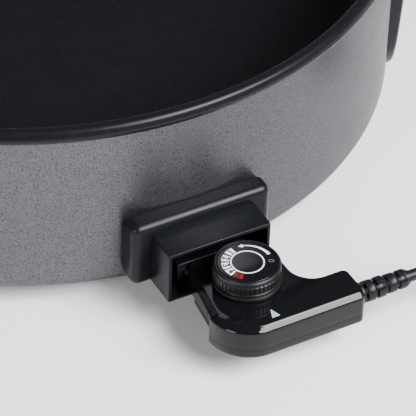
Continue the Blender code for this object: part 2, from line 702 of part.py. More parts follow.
def make_thermostat():
    floor = CONTROL_BOTTOM_Z + CASE_WALL + GAP
    frame = add_box("thermostat_frame", (-0.0110, -0.0090, floor), (0.0110, 0.0090, floor + 0.0050),
                    "zinc_plate", CONTROL_AXIS)
    drill(frame, 0.0017, 0.0, 0.05, CONTROL_AXIS, steps=16)
    add_box("fixed_contact", (-0.0105, -0.0070, floor + 0.0053), (-0.0045, 0.0070, floor + 0.0062),
            "brass", CONTROL_AXIS)
    add_box("contact_spring", (0.0045, -0.0070, floor + 0.0053), (0.0105, 0.0160, floor + 0.0060),
            "brass", CONTROL_AXIS)
    top = 0.0250
    add_cylinder("push_pin", 0.0014, floor + 0.0016, top - GAP, "ceramic", CONTROL_AXIS, steps=16)
    clamp_low = CORD_EXIT_Z + 0.0024
    clamp = add_box("cord_clamp", (0.0330, -0.0325, clamp_low), (0.0390, -0.0175, clamp_low + 0.0020),
                    "black_bakelite", CONTROL_AXIS)
    for i, y in enumerate((-0.0308, -0.0192)):
        drill(clamp, 0.0014, 0.0, 0.05, CONTROL_AXIS, (0.0360, y, 0), steps=16)
        profile = [(0, 0.0012), (0.0020, 0.0010), (0.0020, 0.0), (0.0011, 0.0), (0.0011, -0.0065),
                   (0, -0.0065)]
        add_turned(f"clamp_screw_{i + 1}", profile, "steel", steps=12, parent=CONTROL_AXIS,
                   location=(0.0360, y, clamp_low + 0.0020 + GAP))
    lead_z = PIN_Z
    live = [(-KNOB_X - PIN_X, 0.0175, lead_z), (-0.0168, 0.0080, lead_z), (-0.0150, -0.0080, lead_z),
            (-0.0080, -0.0190, lead_z - 0.0010), (0.0080, -0.0250, CORD_EXIT_Z),
            (0.0200, -0.0264, CORD_EXIT_Z), (0.0320, -0.0264, CORD_EXIT_Z),
            (0.0440, -0.0264, CORD_EXIT_Z)]
    neutral = [(-KNOB_X + PIN_X, 0.0175, lead_z), (0.0125, 0.0080, lead_z),
               (0.0150, -0.0040, lead_z), (0.0170, -0.0120, lead_z - 0.0008),
               (0.0220, -0.0195, CORD_EXIT_Z), (0.0300, -0.0232, CORD_EXIT_Z),
               (0.0360, -0.0236, CORD_EXIT_Z), (0.0440, -0.0236, CORD_EXIT_Z)]
    for name, route, colour in (("lead_live", live, "wire_brown"), ("lead_neutral", neutral, "wire_blue")):
        path = smooth_path([Vector(p) for p in route], 0.0040)
        add_tube(name, path, 0.0011, colour, CONTROL_AXIS)


def make_knob():
    low = DECK_Z + 0.0004
    top = DECK_Z + 0.0122
    profile = [(0.0155, top - 0.0010), (0.0155, top), (0.0162, top), (0.0169, top - 0.0006)]
    profile += [(0.0169, low + 0.0040), (0.0163, low + 0.0036), (0.0163, low + 0.0030),
                (0.0175, low + 0.0026)]
    profile += [(0.0176, low + 0.0004), (0.0172, low), (0.0032, low), (0.0032, top - 0.0034), (0, top - 0.0034)]
    add_turned("knob_grip", [(0, top - 0.0010)] + profile, "gloss_black", steps=32, parent=KNOB_AXIS)
    add_turned("knob_cap", [(0, top - 0.0001), (0.0150, top - 0.0001), (0.0152, top - 0.0003),
                            (0.0152, top - 0.0007), (0, top - 0.0007)],
               "dial_print", steps=32, parent=KNOB_AXIS)
    add_cylinder("knob_spindle", 0.0029, 0.0250, top - 0.0037, "steel", KNOB_AXIS, steps=20)


# ---------------------------------------------------------------- cord
CORD_ROUTE = (
    (0.0841, -0.2348, 0.0240),
    (0.0930, -0.2348, 0.0237),
    (0.1040, -0.2348, 0.0218),
    (0.1150, -0.2348, 0.0178),
    (0.1255, -0.2348, 0.0126),
    (0.1355, -0.2347, 0.0080),
    (0.1455, -0.2346, 0.0050),
    (0.1557, -0.2345, 0.0041),
    (0.1850, -0.2345, 0.0039),
    (0.2207, -0.2345, 0.0040),
)
TAIL_ROUTE = (
    (PLUG_X, -0.1645, 0.0104),
    (PLUG_X, -0.1570, 0.0114),
    (PLUG_X, -0.1490, 0.0138),
    (PLUG_X, -0.1410, 0.0164),
    (PLUG_X, -0.1340, 0.0179),
    (PLUG_X, -0.1270, 0.0182),
)


def make_cord():
    exit_x = KNOB_X + CASE_END + GAP
    relief = [(0, 0.0), (0.0058, 0.0), (0.0058, 0.0030)]
    for i in range(4):
        start = 0.0045 + 0.0062 * i
        radius = 0.0057 - 0.0003 * i
        relief += [(radius - 0.0014, start), (radius, start + 0.0010), (radius - 0.0002, start + 0.0046)]
    relief += [(0.0040, RELIEF_LENGTH), (0, RELIEF_LENGTH)]
    relief.reverse()
    add_turned("strain_relief", relief, "cord_vinyl", steps=24,
               location=(exit_x, -CORD_OUT, CORD_EXIT_Z), rotation=ALONG_X)
    path = smooth_path([Vector(p) for p in CORD_ROUTE], 0.0070)
    add_tube("power_cord", path, CORD_R, "cord_vinyl", None, resolution=3)
    low, high = COIL_Z
    ring = [(COIL_OUTER_R - 0.0020, high), (COIL_OUTER_R, high - 0.0030), (COIL_OUTER_R, low + 0.0030)]
    ring += [(COIL_OUTER_R - 0.0020, low), (COIL_INNER_R + 0.0020, low), (COIL_INNER_R, low + 0.0030)]
    ring += [(COIL_INNER_R, high - 0.0030), (COIL_INNER_R + 0.0020, high)]
    add_turned("cord_coil", ring, "cord_vinyl", closed=True, steps=40, parent=None,
               location=(COIL_X, COIL_Y, 0))
    tail = smooth_path([Vector(p) for p in TAIL_ROUTE], 0.0070)
    add_tube("plug_cord", tail, CORD_R, "cord_vinyl", None, resolution=3)
    make_plug()


def make_plug():
    """A round two-pin mains plug lying on its side, with its pins towards +Y."""
    away = (math.radians(-90), 0, 0)
    start = (PLUG_X, TAIL_ROUTE[-1][1] + GAP, PLUG_Z)
    sleeve = [(0, 0.0240), (0.0072, 0.0240), (0.0046, 0.0), (0, 0)]
    add_turned("plug_sleeve", sleeve, "cord_vinyl", steps=24, parent=None, location=start, rotation=away)
    body = [(0, 0.0330), (0.0170, 0.0330), (0.0178, 0.0318), (0.0178, 0.0150), (0.0140, 0.0040),
            (0.0105, 0.0), (0, 0)]
    base = (PLUG_X, start[1] + 0.0240 + GAP, PLUG_Z)
    add_turned("plug_body", body, "cord_vinyl", steps=32, parent=None, location=base, rotation=away)
    pin = [(0, 0.0190), (0.0014, 0.0188), (0.0024, 0.0176), (0.0024, 0.0), (0, 0)]
    for side, name in ((-1, "left"), (1, "right")):
        place = (PLUG_X + side * 0.0095, base[1] + 0.0330 + GAP, PLUG_Z)
        add_turned("plug_pin_" + name, pin, "steel", steps=16, parent=None, location=place, rotation=away)


make_outer_shell()
make_inner_pan()
make_base()
make_heating()
make_socket()
for side_name, side_sign in (("left", -1), ("right", 1)):
    make_leg(side_name, side_sign)
    make_grip(side_name, side_sign)
make_case()
make_marker()
make_nose()
make_thermostat()
make_knob()
make_cord()
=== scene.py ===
import json
import math

import bmesh
import bpy
from mathutils import Matrix, Vector
from mathutils.geometry import delaunay_2d_cdt


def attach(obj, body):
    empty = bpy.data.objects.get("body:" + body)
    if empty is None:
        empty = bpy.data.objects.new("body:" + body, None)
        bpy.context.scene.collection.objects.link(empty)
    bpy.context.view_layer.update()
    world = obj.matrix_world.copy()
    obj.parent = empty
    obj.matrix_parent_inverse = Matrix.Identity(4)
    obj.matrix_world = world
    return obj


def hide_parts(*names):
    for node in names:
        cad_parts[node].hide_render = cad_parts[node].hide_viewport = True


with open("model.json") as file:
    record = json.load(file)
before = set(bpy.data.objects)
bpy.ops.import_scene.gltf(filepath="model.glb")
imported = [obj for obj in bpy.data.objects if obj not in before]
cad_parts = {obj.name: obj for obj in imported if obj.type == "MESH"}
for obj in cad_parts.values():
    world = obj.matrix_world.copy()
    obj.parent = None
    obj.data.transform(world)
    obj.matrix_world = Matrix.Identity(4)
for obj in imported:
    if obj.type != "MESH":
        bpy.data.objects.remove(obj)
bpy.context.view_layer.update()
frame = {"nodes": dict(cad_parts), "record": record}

# ---------------------------------------------------------------- dimensions, as in the CAD
AXIS_Y = 0.0395
SHELL_BOTTOM_Z = 0.0102
SHELL_TOP_Z = 0.1070
SHELL_BOTTOM_R = 0.2022
SHELL_TOP_R = 0.2032
PAN_FLOOR_Z = 0.0525
RIM_Z = 0.1110
FLANGE_HALF_W = 0.0393
FLANGE_OUT = 0.2130
FLANGE_Z = (0.0167, 0.0546)
SHROUD_HALF_W = 0.0288
SHROUD_OUT = 0.2310
SHROUD_Z = (0.0175, 0.0477)
PIN_X = 0.0120
PIN_Z = 0.0268
KNOB_OUT = 0.2493
KNOB = Vector((0.0052, AXIS_Y - KNOB_OUT, 0))
DECK_Z = 0.0334
CASE_BOTTOM_Z = 0.0147
PARTING_Z = 0.0207
WAIST_TOP = -0.0272
WAIST_LOW = -0.0246
BASE_WAIST = -0.0244
COVER_REAR = 0.0253
BASE_REAR = 0.0163
SEAM_HALF = 0.00004
CASE_SCREWS = ((-0.0175, -0.0200), (0.0270, -0.0308), (-0.0050, 0.0130))
SCREW_BORE_R = 0.0034
CASE_END = 0.0484
CORD_R = 0.00315
CORD_OFFSET_Y = -0.0250
CORD_Z = 0.0240
CORD_START = (0.0841, -0.2348, 0.0240)
COIL_CENTRE = (0.2480, -0.1900)
PLUG_X = 0.2941
SIDES = ((-1, "left"), (1, "right"))


# ---------------------------------------------------------------- camera
def make_camera():
    """A long lens in front of the pan, to its left and well above it."""
    yaw, pitch, roll = 0.5147, 0.7031, 0.0299
    forward = Vector((math.sin(yaw) * math.cos(pitch), math.cos(yaw) * math.cos(pitch), -math.sin(pitch)))
    right = Vector((math.cos(yaw), -math.sin(yaw), 0))
    up = right.cross(forward)
    x = right * math.cos(roll) + up * math.sin(roll)
    y = up * math.cos(roll) - right * math.sin(roll)
    data = bpy.data.cameras.new("camera")
    data.lens = 278.65
    data.sensor_width = 36
    data.clip_start = 0.05
    data.clip_end = 30
    data.dof.use_dof = False
    camera = bpy.data.objects.new("camera", data)
    bpy.context.scene.collection.objects.link(camera)
    matrix = Matrix((x, y, -forward)).transposed().to_4x4()
    matrix.translation = (-0.60125, -1.24096, 1.0935)
    camera.matrix_world = matrix
    bpy.context.scene.camera = camera


make_camera()


# ---------------------------------------------------------------- materials
def add_noise(tree, scale, detail=2.0, roughness=0.5, stretch=None):
    coordinates = tree.nodes.new("ShaderNodeTexCoord")
    noise = tree.nodes.new("ShaderNodeTexNoise")
    noise.inputs["Scale"].default_value = scale
    noise.inputs["Detail"].default_value = detail
    noise.inputs["Roughness"].default_value = roughness
    if stretch:
        mapping = tree.nodes.new("ShaderNodeMapping")
        mapping.inputs["Scale"].default_value = stretch
        tree.links.new(coordinates.outputs["Object"], mapping.inputs["Vector"])
        tree.links.new(mapping.outputs["Vector"], noise.inputs["Vector"])
    else:
        tree.links.new(coordinates.outputs["Object"], noise.inputs["Vector"])
    return noise.outputs["Fac"]


def make_material(name, colour, roughness, metallic=0.0, ior=1.5, tint=None, tint_scale=400,
                  tint_range=(0.4, 0.6), bump=0.0, bump_scale=1500, wear=0.0, stretch=None, edge_tint=None):
    """A finish with its own fine grain: a second colour in specks, a bump, and uneven gloss.

    edge_tint is what the surface mirrors at a low angle.
    """
    material = bpy.data.materials.new(name)
    material.use_nodes = True
    tree = material.node_tree
    shader = tree.nodes["Principled BSDF"]
    shader.inputs["Base Color"].default_value = (*colour, 1)
    shader.inputs["Roughness"].default_value = roughness
    shader.inputs["Metallic"].default_value = metallic
    shader.inputs["IOR"].default_value = ior
    if edge_tint:
        shader.inputs["Specular Tint"].default_value = (*edge_tint, 1)
    material.diffuse_color = (*colour, 1)
    if tint:
        ramp = tree.nodes.new("ShaderNodeValToRGB")
        ramp.color_ramp.elements[0].position = tint_range[0]
        ramp.color_ramp.elements[0].color = (*tint, 1)
        ramp.color_ramp.elements[1].position = tint_range[1]
        ramp.color_ramp.elements[1].color = (*colour, 1)
        tree.links.new(add_noise(tree, tint_scale, 2.0, 0.6), ramp.inputs["Fac"])
        tree.links.new(ramp.outputs["Color"], shader.inputs["Base Color"])
    if bump:
        node = tree.nodes.new("ShaderNodeBump")
        node.inputs["Strength"].default_value = 0.6
        node.inputs["Distance"].default_value = bump
        tree.links.new(add_noise(tree, bump_scale, 3.0, 0.55, stretch), node.inputs["Height"])
        tree.links.new(node.outputs["Normal"], shader.inputs["Normal"])
    if wear:
        spread = tree.nodes.new("ShaderNodeMapRange")
        spread.inputs["From Min"].default_value = 0.3
        spread.inputs["From Max"].default_value = 0.7
        spread.inputs["To Min"].default_value = roughness - wear
        spread.inputs["To Max"].default_value = roughness + wear
        tree.links.new(add_noise(tree, 60, 4.0, 0.6, stretch), spread.inputs["Value"])
        tree.links.new(spread.outputs["Result"], shader.inputs["Roughness"])
    return material


FINISH = {
    "shell_paint": make_material("speckled_paint", (0.125, 0.121, 0.132), 0.34, 0.88,
                                 tint=(0.040, 0.039, 0.043), tint_scale=1700, tint_range=(0.34, 0.58),
                                 bump=0.00003, bump_scale=1500, wear=0.03, edge_tint=(0.72, 0.72, 0.74)),
    "black_nonstick": make_material("nonstick_coating", (0.0045, 0.0045, 0.006), 0.27, ior=1.23,
                                    tint=(0.007, 0.007, 0.009), tint_scale=900, bump=0.00002,
                                    bump_scale=1100, wear=0.05),
    "black_bakelite": make_material("black_phenolic", (0.0040, 0.0045, 0.0065), 0.29, ior=1.24,
                                    tint=(0.0055, 0.006, 0.0085), tint_scale=1200, bump=0.00002,
                                    bump_scale=2000, wear=0.05),
    "gloss_black": make_material("gloss_plastic", (0.0038, 0.0038, 0.0048), 0.05, ior=1.31,
                                 bump=0.000004, bump_scale=160, wear=0.02),
    "dial_print": make_material("dial_ground", (0.003, 0.003, 0.005), 0.20, ior=1.4,
                                bump=0.000003, bump_scale=900, wear=0.04),
    "marker_blue": make_material("pointer_paint", (0.30, 0.40, 0.48), 0.45, bump=0.000006,
                                 bump_scale=2500, wear=0.05),
    "steel": make_material("plated_steel", (0.58, 0.59, 0.60), 0.27, 1.0, bump=0.000006,
                           bump_scale=900, wear=0.07, stretch=(1, 1, 0.08)),
    "zinc_plate": make_material("zinc_plating", (0.48, 0.49, 0.50), 0.40, 1.0, tint=(0.40, 0.41, 0.44),
                                tint_scale=220, bump=0.00001, bump_scale=900, wear=0.08),
    "aluminium": make_material("milled_aluminium", (0.72, 0.73, 0.74), 0.36, 1.0, bump=0.000008,
                               bump_scale=700, wear=0.06, stretch=(1, 0.1, 1)),
    "brass": make_material("stamped_brass", (0.75, 0.57, 0.25), 0.30, 1.0, bump=0.000006,
                           bump_scale=900, wear=0.07),
    "ceramic": make_material("steatite", (0.78, 0.75, 0.68), 0.55, tint=(0.70, 0.67, 0.60),
                             tint_scale=700, bump=0.00002, bump_scale=1500, wear=0.06),
    "rubber": make_material("foot_rubber", (0.018, 0.018, 0.020), 0.75, tint=(0.030, 0.030, 0.032),
                            tint_scale=900, bump=0.00003, bump_scale=1500, wear=0.06),
    "cord_vinyl": make_material("soft_vinyl", (0.006, 0.006, 0.008), 0.36, ior=1.28,
                                tint=(0.010, 0.010, 0.013), tint_scale=600, bump=0.00002, bump_scale=1200,
                                wear=0.05),
    "wire_brown": make_material("brown_insulation", (0.18, 0.06, 0.025), 0.45, bump=0.00001, wear=0.05),
    "wire_blue": make_material("blue_insulation", (0.035, 0.09, 0.33), 0.45, bump=0.00001, wear=0.05),
}
KNOB_PLASTIC = make_material("knob_plastic", (0.006, 0.006, 0.007), 0.36, ior=1.33, bump=0.000004,
                             bump_scale=400, wear=0.03)
PRINT_WHITE = make_material("print_white", (0.80, 0.82, 0.84), 0.45, bump=0.000004, wear=0.04)
PRINT_RED = make_material("print_red", (0.22, 0.0006, 0.0015), 0.40, bump=0.000004, wear=0.04)
PRINT_DARK = make_material("print_dark", (0.006, 0.007, 0.012), 0.40, bump=0.000004, wear=0.04)
PRINT_GREY = make_material("print_grey", (0.085, 0.09, 0.10), 0.45, bump=0.000004, wear=0.04)
TIE_WIRE = make_material("tie_plastic", (0.03, 0.03, 0.032), 0.35, bump=0.00001, wear=0.05)


# ---------------------------------------------------------------- shape helpers
def finish_piece(name, mesh, slot, body, stands_for=(), material=None, sharp_deg=35.0):
    """Names a piece, gives it its finish and body, and hides the CAD nodes that it stands for."""
    mesh.name = name
    mesh.materials.clear()
    mesh.materials.append(material or FINISH[slot])
    mesh.shade_smooth()
    mesh.set_sharp_from_angle(angle=math.radians(sharp_deg))
    piece = bpy.data.objects.new(name, mesh)
    bpy.context.scene.collection.objects.link(piece)
    if stands_for:
        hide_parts(*stands_for)
    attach(piece, body)
    return piece


def from_bmesh(work, name):
    mesh = bpy.data.meshes.new(name)
    bmesh.ops.recalc_face_normals(work, faces=work.faces)
    work.to_mesh(mesh)
    work.free()
    return mesh


def baked(holder):
    """The finished mesh of an object, which is then removed."""
    bpy.context.scene.collection.objects.link(holder)
    bpy.context.view_layer.update()
    mesh = bpy.data.meshes.new_from_object(holder.evaluated_get(bpy.context.evaluated_depsgraph_get()))
    bpy.data.objects.remove(holder, do_unlink=True)
    return mesh


def spline_point(a, b, c, d, t):
    """A point between b and c on a Catmull-Rom curve, at a share t of the way."""
    return 0.5 * (2 * b + (c - a) * t + (2 * a - 5 * b + 4 * c - d) * t * t
                  + (3 * b - a - 3 * c + d) * t * t * t)


def fillet(corners, steps=6, closed=False):
    """A line through corners (x, y, radius), each rounded by its radius."""
    points = []
    count = len(corners)
    for i, corner in enumerate(corners):
        here = Vector(corner[:2])
        radius = corner[2] if len(corner) > 2 else 0
        if radius == 0 or (not closed and i in (0, count - 1)):
            points.append((here.x, here.y))
            continue
        u = (Vector(corners[i - 1][:2]) - here).normalized()
        v = (Vector(corners[(i + 1) % count][:2]) - here).normalized()
        half = u.angle(v) / 2
        start = here + u * (radius / math.tan(half))
        end = here + v * (radius / math.tan(half))
        centre = here + (u + v).normalized() * (radius / math.sin(half))
        first = math.atan2(start.y - centre.y, start.x - centre.x)
        last = math.atan2(end.y - centre.y, end.x - centre.x)
        sweep = (last - first + math.pi) % (2 * math.pi) - math.pi
        for k in range(steps + 1):
            angle = first + sweep * k / steps
            points.append((centre.x + radius * math.cos(angle), centre.y + radius * math.sin(angle)))
    return points


def arc(x, y, radius, start_deg, end_deg, steps):
    points = []
    for i in range(steps + 1):
        angle = math.radians(start_deg + (end_deg - start_deg) * i / steps)
        points.append((x + radius * math.cos(angle), y + radius * math.sin(angle)))
    return points


def smooth_loop(points, per):
    """A closed Catmull-Rom curve through 2D points."""
    loop = []
    count = len(points)
    for i in range(count):
        a, b, c, d = (Vector(points[(i + k) % count]) for k in (-1, 0, 1, 2))
        for k in range(per):
            p = spline_point(a, b, c, d, k / per)
            loop.append((p.x, p.y))
    return loop


def revolve(profile, steps=160, closed=False, shape=None):
    """A turned shape about Z. shape(angle, index) scales the radius of a profile point."""
    work = bmesh.new()
    rings = []
    for index, (radius, z) in enumerate(profile):
        if radius < 1e-7:
            rings.append([work.verts.new((0, 0, z))])
            continue
        ring = []
        for k in range(steps):
            angle = 2 * math.pi * k / steps
            r = radius * (shape(angle, index) if shape else 1.0)
            ring.append(work.verts.new((r * math.cos(angle), r * math.sin(angle), z)))
        rings.append(ring)
    pairs = list(zip(rings, rings[1:]))
    if closed:
        pairs.append((rings[-1], rings[0]))
    for low, high in pairs:
        for k in range(steps):
            n = (k + 1) % steps
            corners = [low[k % len(low)], low[n % len(low)], high[n % len(high)], high[k % len(high)]]
            unique = list(dict.fromkeys(corners))
            if len(unique) > 2:
                work.faces.new(unique)
    return from_bmesh(work, "turned")


def cylinder(radius, low, high, steps):
    return revolve([(0, low), (radius, low), (radius, high), (0, high)], steps)


def flat_cap(work, ring, hole):
    """Fills a level ring, around a round hole if there is one, and returns the hole's own points."""
    points = [Vector((v.co.x, v.co.y)) for v in ring]
    count = len(points)
    edges = [(i, (i + 1) % count) for i in range(count)]
    rim = []
    if hole:
        x, y, radius, steps = hole
        for k in range(steps):
            angle = 2 * math.pi * k / steps
            points.append(Vector((x + radius * math.cos(angle), y + radius * math.sin(angle))))
            edges.append((count + k, count + (k + 1) % steps))
        rim = [work.verts.new((p.x, p.y, ring[0].co.z)) for p in points[count:]]
    known = list(ring) + rim
    _, _, faces, origins, _, _ = delaunay_2d_cdt(points, edges, [list(range(count))], 1, 1e-9)
    for face in faces:
        corners = [known[origins[i][0]] for i in face]
        if rim and all(corner in rim for corner in corners):
            continue
        work.faces.new(corners)
    return rim


def loft(rings, closed=False, hole=None):
    """A skin over rings of equal numbers of points. A hole goes through both of its level ends."""
    work = bmesh.new()
    made = [[work.verts.new(p) for p in ring] for ring in rings]
    pairs = list(zip(made, made[1:]))
    if closed:
        pairs.append((made[-1], made[0]))
    for low, high in pairs:
        count = len(low)
        for k in range(count):
            work.faces.new((low[k], low[(k + 1) % count], high[(k + 1) % count], high[k]))
    if closed:
        return from_bmesh(work, "loft")
    rims = []
    for ring in (made[0], made[-1]):
        level = max(v.co.z for v in ring) - min(v.co.z for v in ring) < 1e-6
        if level:
            rims.append(flat_cap(work, ring, hole))
        else:
            work.faces.new(ring)
    if hole:
        for k in range(hole[3]):
            n = (k + 1) % hole[3]
            work.faces.new((rims[0][k], rims[0][n], rims[1][n], rims[1][k]))
    return from_bmesh(work, "loft")


def box(low, high, bevel=0.0, segments=4):
    """A block between two corners, with rounded edges if a bevel is given."""
    work = bmesh.new()
    bmesh.ops.create_cube(work, size=1.0)
    low, high = Vector(low), Vector(high)
    bmesh.ops.scale(work, vec=high - low, verts=work.verts)
    bmesh.ops.translate(work, vec=(high + low) / 2, verts=work.verts)
    if bevel:
        bmesh.ops.bevel(work, geom=work.edges[:], offset=bevel, offset_type="OFFSET", segments=segments,
                        profile=0.5, affect="EDGES")
    return from_bmesh(work, "box")


def moved(mesh, matrix):
    mesh.transform(matrix)
    return mesh


def place(x, y, z):
    return Matrix.Translation((x, y, z))


OUTWARD = Matrix.Rotation(math.radians(90), 4, "X")      # +Z becomes -Y
INWARD = Matrix.Rotation(math.radians(-90), 4, "X")      # +Z becomes +Y
SIDEWAYS = Matrix.Rotation(math.radians(90), 4, "Y")     # +Z becomes +X


def joined(*meshes):
    work = bmesh.new()
    for mesh in meshes:
        work.from_mesh(mesh)
    return from_bmesh(work, "joined")


def carve(mesh, tools):
    """The mesh after exact booleans with the tools, in order. A tool is cut away unless its kind is given."""
    body = bpy.data.objects.new("carved", mesh)
    held = []
    for tool in tools:
        kind, shape = tool if isinstance(tool, tuple) else ("DIFFERENCE", tool)
        holder = bpy.data.objects.new("tool", shape)
        bpy.context.scene.collection.objects.link(holder)
        held.append(holder)
        boolean = body.modifiers.new("carve", "BOOLEAN")
        boolean.operation = kind
        boolean.solver = "EXACT"
        boolean.object = holder
    result = baked(body)
    for holder in held:
        bpy.data.objects.remove(holder, do_unlink=True)
    return result


def tube_mesh(path, radius, sides):
    """A round tube along a path, without twist."""
    rings = []
    normal = None
    for i, here in enumerate(path):
        ahead = path[min(i + 1, len(path) - 1)]
        behind = path[max(i - 1, 0)]
        tangent = (ahead - behind).normalized()
        if normal is None:
            normal = tangent.orthogonal().normalized()
        normal = (normal - tangent * normal.dot(tangent)).normalized()
        side = tangent.cross(normal)
        rings.append([here + (normal * math.cos(a) + side * math.sin(a)) * radius
                      for a in (2 * math.pi * k / sides for k in range(sides))])
    return loft(rings)


def offset_loop(points, distance):
    """A closed anticlockwise 2D loop moved inwards by a distance."""
    moved_points = []
    count = len(points)
    for i in range(count):
        a, b, c = (Vector(points[(i + k) % count]) for k in (-1, 0, 1))
        u, v = (b - a).normalized(), (c - b).normalized()
        n1, n2 = Vector((-u.y, u.x)), Vector((-v.y, v.x))
        n = n1 + n2
        n = n / max(n.length_squared / 2, 0.5)
        moved_points.append((b.x + n.x * distance, b.y + n.y * distance))
    return moved_points


def fill_face(work, loop, ring, surface, spacing, extra_rows):
    """Fills a ring of vertices, which lies over a 2D loop, with a grid of points on a surface(a, b)."""
    count = len(loop)
    fill = [Vector(p) for p in loop]
    low_a, high_a = min(p.x for p in fill), max(p.x for p in fill)
    low_b, high_b = min(p.y for p in fill), max(p.y for p in fill)
    columns = int((high_a - low_a) / spacing)
    rows = [low_b + spacing * j for j in range(1, int((high_b - low_b) / spacing) + 1)]
    rows = [r for r in rows if all(abs(r - e) > spacing / 3 for e in extra_rows)] + list(extra_rows)
    for row in rows:
        for i in range(1, columns + 1):
            fill.append(Vector((low_a + (high_a - low_a) * i / (columns + 1), row)))
    edges = [(i, (i + 1) % count) for i in range(count)]
    verts, _, faces, origins, _, _ = delaunay_2d_cdt(fill, edges, [list(range(count))], 1, 1e-7)
    made = {}
    for i, p in enumerate(verts):
        source = [o for o in origins[i] if o < count]
        made[i] = ring[source[0]] if source else work.verts.new(surface(p.x, p.y))
    for face in faces:
        corners = list(dict.fromkeys(made[i] for i in face))
        if len(corners) > 2 and not work.faces.get(corners):
            work.faces.new(corners)


def cushion(outline, front, back, edge, spacing, extra_rows):
    """A moulding with rounded edges over a 2D outline. front(a, b, drop) and back(a, b) place it.

    Both faces are filled with a grid of points at the spacing, with extra rows where the back turns.
    """
    work = bmesh.new()
    rings = []
    steps = 5
    for k in range(steps + 1):
        t = math.radians(90 * k / steps)
        loop = offset_loop(outline, edge * (1 - math.cos(t)))
        rings.append([work.verts.new(front(a, b, edge * (1 - math.sin(t)))) for a, b in loop])
    back_ring = [work.verts.new(back(a, b)) for a, b in outline]
    count = len(outline)
    for low, high in zip([back_ring] + rings, rings):
        for k in range(count):
            work.faces.new((low[k], low[(k + 1) % count], high[(k + 1) % count], high[k]))
    fill_face(work, loop, rings[-1], lambda a, b: front(a, b, 0.0), spacing, extra_rows)
    fill_face(work, outline, back_ring, back, spacing, extra_rows)
    loose = [v for v in work.verts if not v.link_faces]
    bmesh.ops.delete(work, geom=loose, context="VERTS")
    return from_bmesh(work, "cushion")


def flat_shape(loops, low, high, bevel, resolution=4):
    """A plate with rounded edges over 2D loops, of which later ones are holes."""
    curve = bpy.data.curves.new("plate", "CURVE")
    curve.dimensions = "2D"
    curve.fill_mode = "BOTH"
    curve.extrude = (high - low) / 2 - bevel
    curve.bevel_depth = bevel
    curve.bevel_resolution = resolution
    curve.offset = -bevel
    for loop in loops:
        spline = curve.splines.new("POLY")
        spline.points.add(len(loop) - 1)
        for point, (x, y) in zip(spline.points, loop):
            point.co = (x, y, 0, 1)
        spline.use_cyclic_u = True
    mesh = baked(bpy.data.objects.new("plate", curve))
    bpy.data.curves.remove(curve)
    work = bmesh.new()
    work.from_mesh(mesh)
    bmesh.ops.remove_doubles(work, verts=work.verts, dist=0.000004)
    bmesh.ops.translate(work, vec=(0, 0, (low + high) / 2), verts=work.verts)
    return from_bmesh(work, "plate")


def screw_head(radius, height, shank, length):
    """A screw along +Z with a domed, cross-slotted head at its lower end."""
    profile = fillet([(0, 0), (radius * 0.8, 0), (radius, height * 0.55, height * 0.3),
                      (radius, height), (shank, height), (shank, length - shank * 0.6),
                      (shank * 0.5, length), (0, length)], 4)
    head = revolve(profile, 32)
    wide, deep = radius * 0.13, height * 0.6
    slot_x = box((-radius * 0.55, -wide, -0.001), (radius * 0.55, wide, deep))
    slot_y = box((-wide, -radius * 0.55, -0.001), (wide, radius * 0.55, deep))
    return carve(head, [slot_x, slot_y])


# ---------------------------------------------------------------- cord, which is laid out first
def smooth_path(route):
    """An open Catmull-Rom curve through the points of a route."""
    per = 8
    route = [Vector(point) for point in route]
    ends = [route[0] * 2 - route[1]] + route + [route[-1] * 2 - route[-2]]
    path = []
    for a, b, c, d in zip(ends, ends[1:], ends[2:], ends[3:]):
        path += [spline_point(a, b, c, d, i / per) for i in range(per)]
    path.append(route[-1])
    return path


CORD_ROUTE = (
    CORD_START,
    (0.0930, -0.2348, 0.0237),
    (0.1040, -0.2348, 0.0218),
    (0.1150, -0.2348, 0.0178),
    (0.1255, -0.2348, 0.0126),
    (0.1355, -0.2347, 0.0080),
    (0.1455, -0.2346, 0.0050),
    (0.1557, -0.2345, 0.0041),
    (0.1850, -0.2345, 0.0039),
    (0.2207, -0.2345, 0.0040),
)
TAIL_ROUTE = (
    (PLUG_X, -0.1645, 0.0104),
    (PLUG_X, -0.1570, 0.0114),
    (PLUG_X, -0.1490, 0.0138),
    (PLUG_X, -0.1410, 0.0164),
    (PLUG_X, -0.1340, 0.0179),
    (PLUG_X, -0.1270, 0.0182),
)
COIL_LOW_Z = 0.0040
COIL_HIGH_Z = 0.0104
COIL_OUTER = 0.0445
COIL_INNER = 0.0253
COIL_END = 0.0461
COIL_TURNS = 6.25
COIL_STEPS = 400
LEAD_IN = (0.2350, -0.2345, 0.0040)
LEAD_OUT = (PLUG_X, -0.1780, 0.0104)


def coil_point(turn):
    """The coil's centreline: three turns inwards, a quarter turn up, and three turns out on top."""
    if turn <= 3.0:
        radius = COIL_OUTER + (COIL_INNER - COIL_OUTER) * turn / 3.0
        z = COIL_LOW_Z
    elif turn <= 3.25:
        share = (turn - 3.0) / 0.25
        radius = COIL_INNER
        z = COIL_LOW_Z + (COIL_HIGH_Z - COIL_LOW_Z) * share * share * (3 - 2 * share)
    else:
        radius = COIL_INNER + (COIL_END - COIL_INNER) * (turn - 3.25) / 3.0
        z = COIL_HIGH_Z
    angle = 2 * math.pi * turn - math.pi / 2
    return Vector((COIL_CENTRE[0] + radius * math.cos(angle), COIL_CENTRE[1] + radius * math.sin(angle), z))


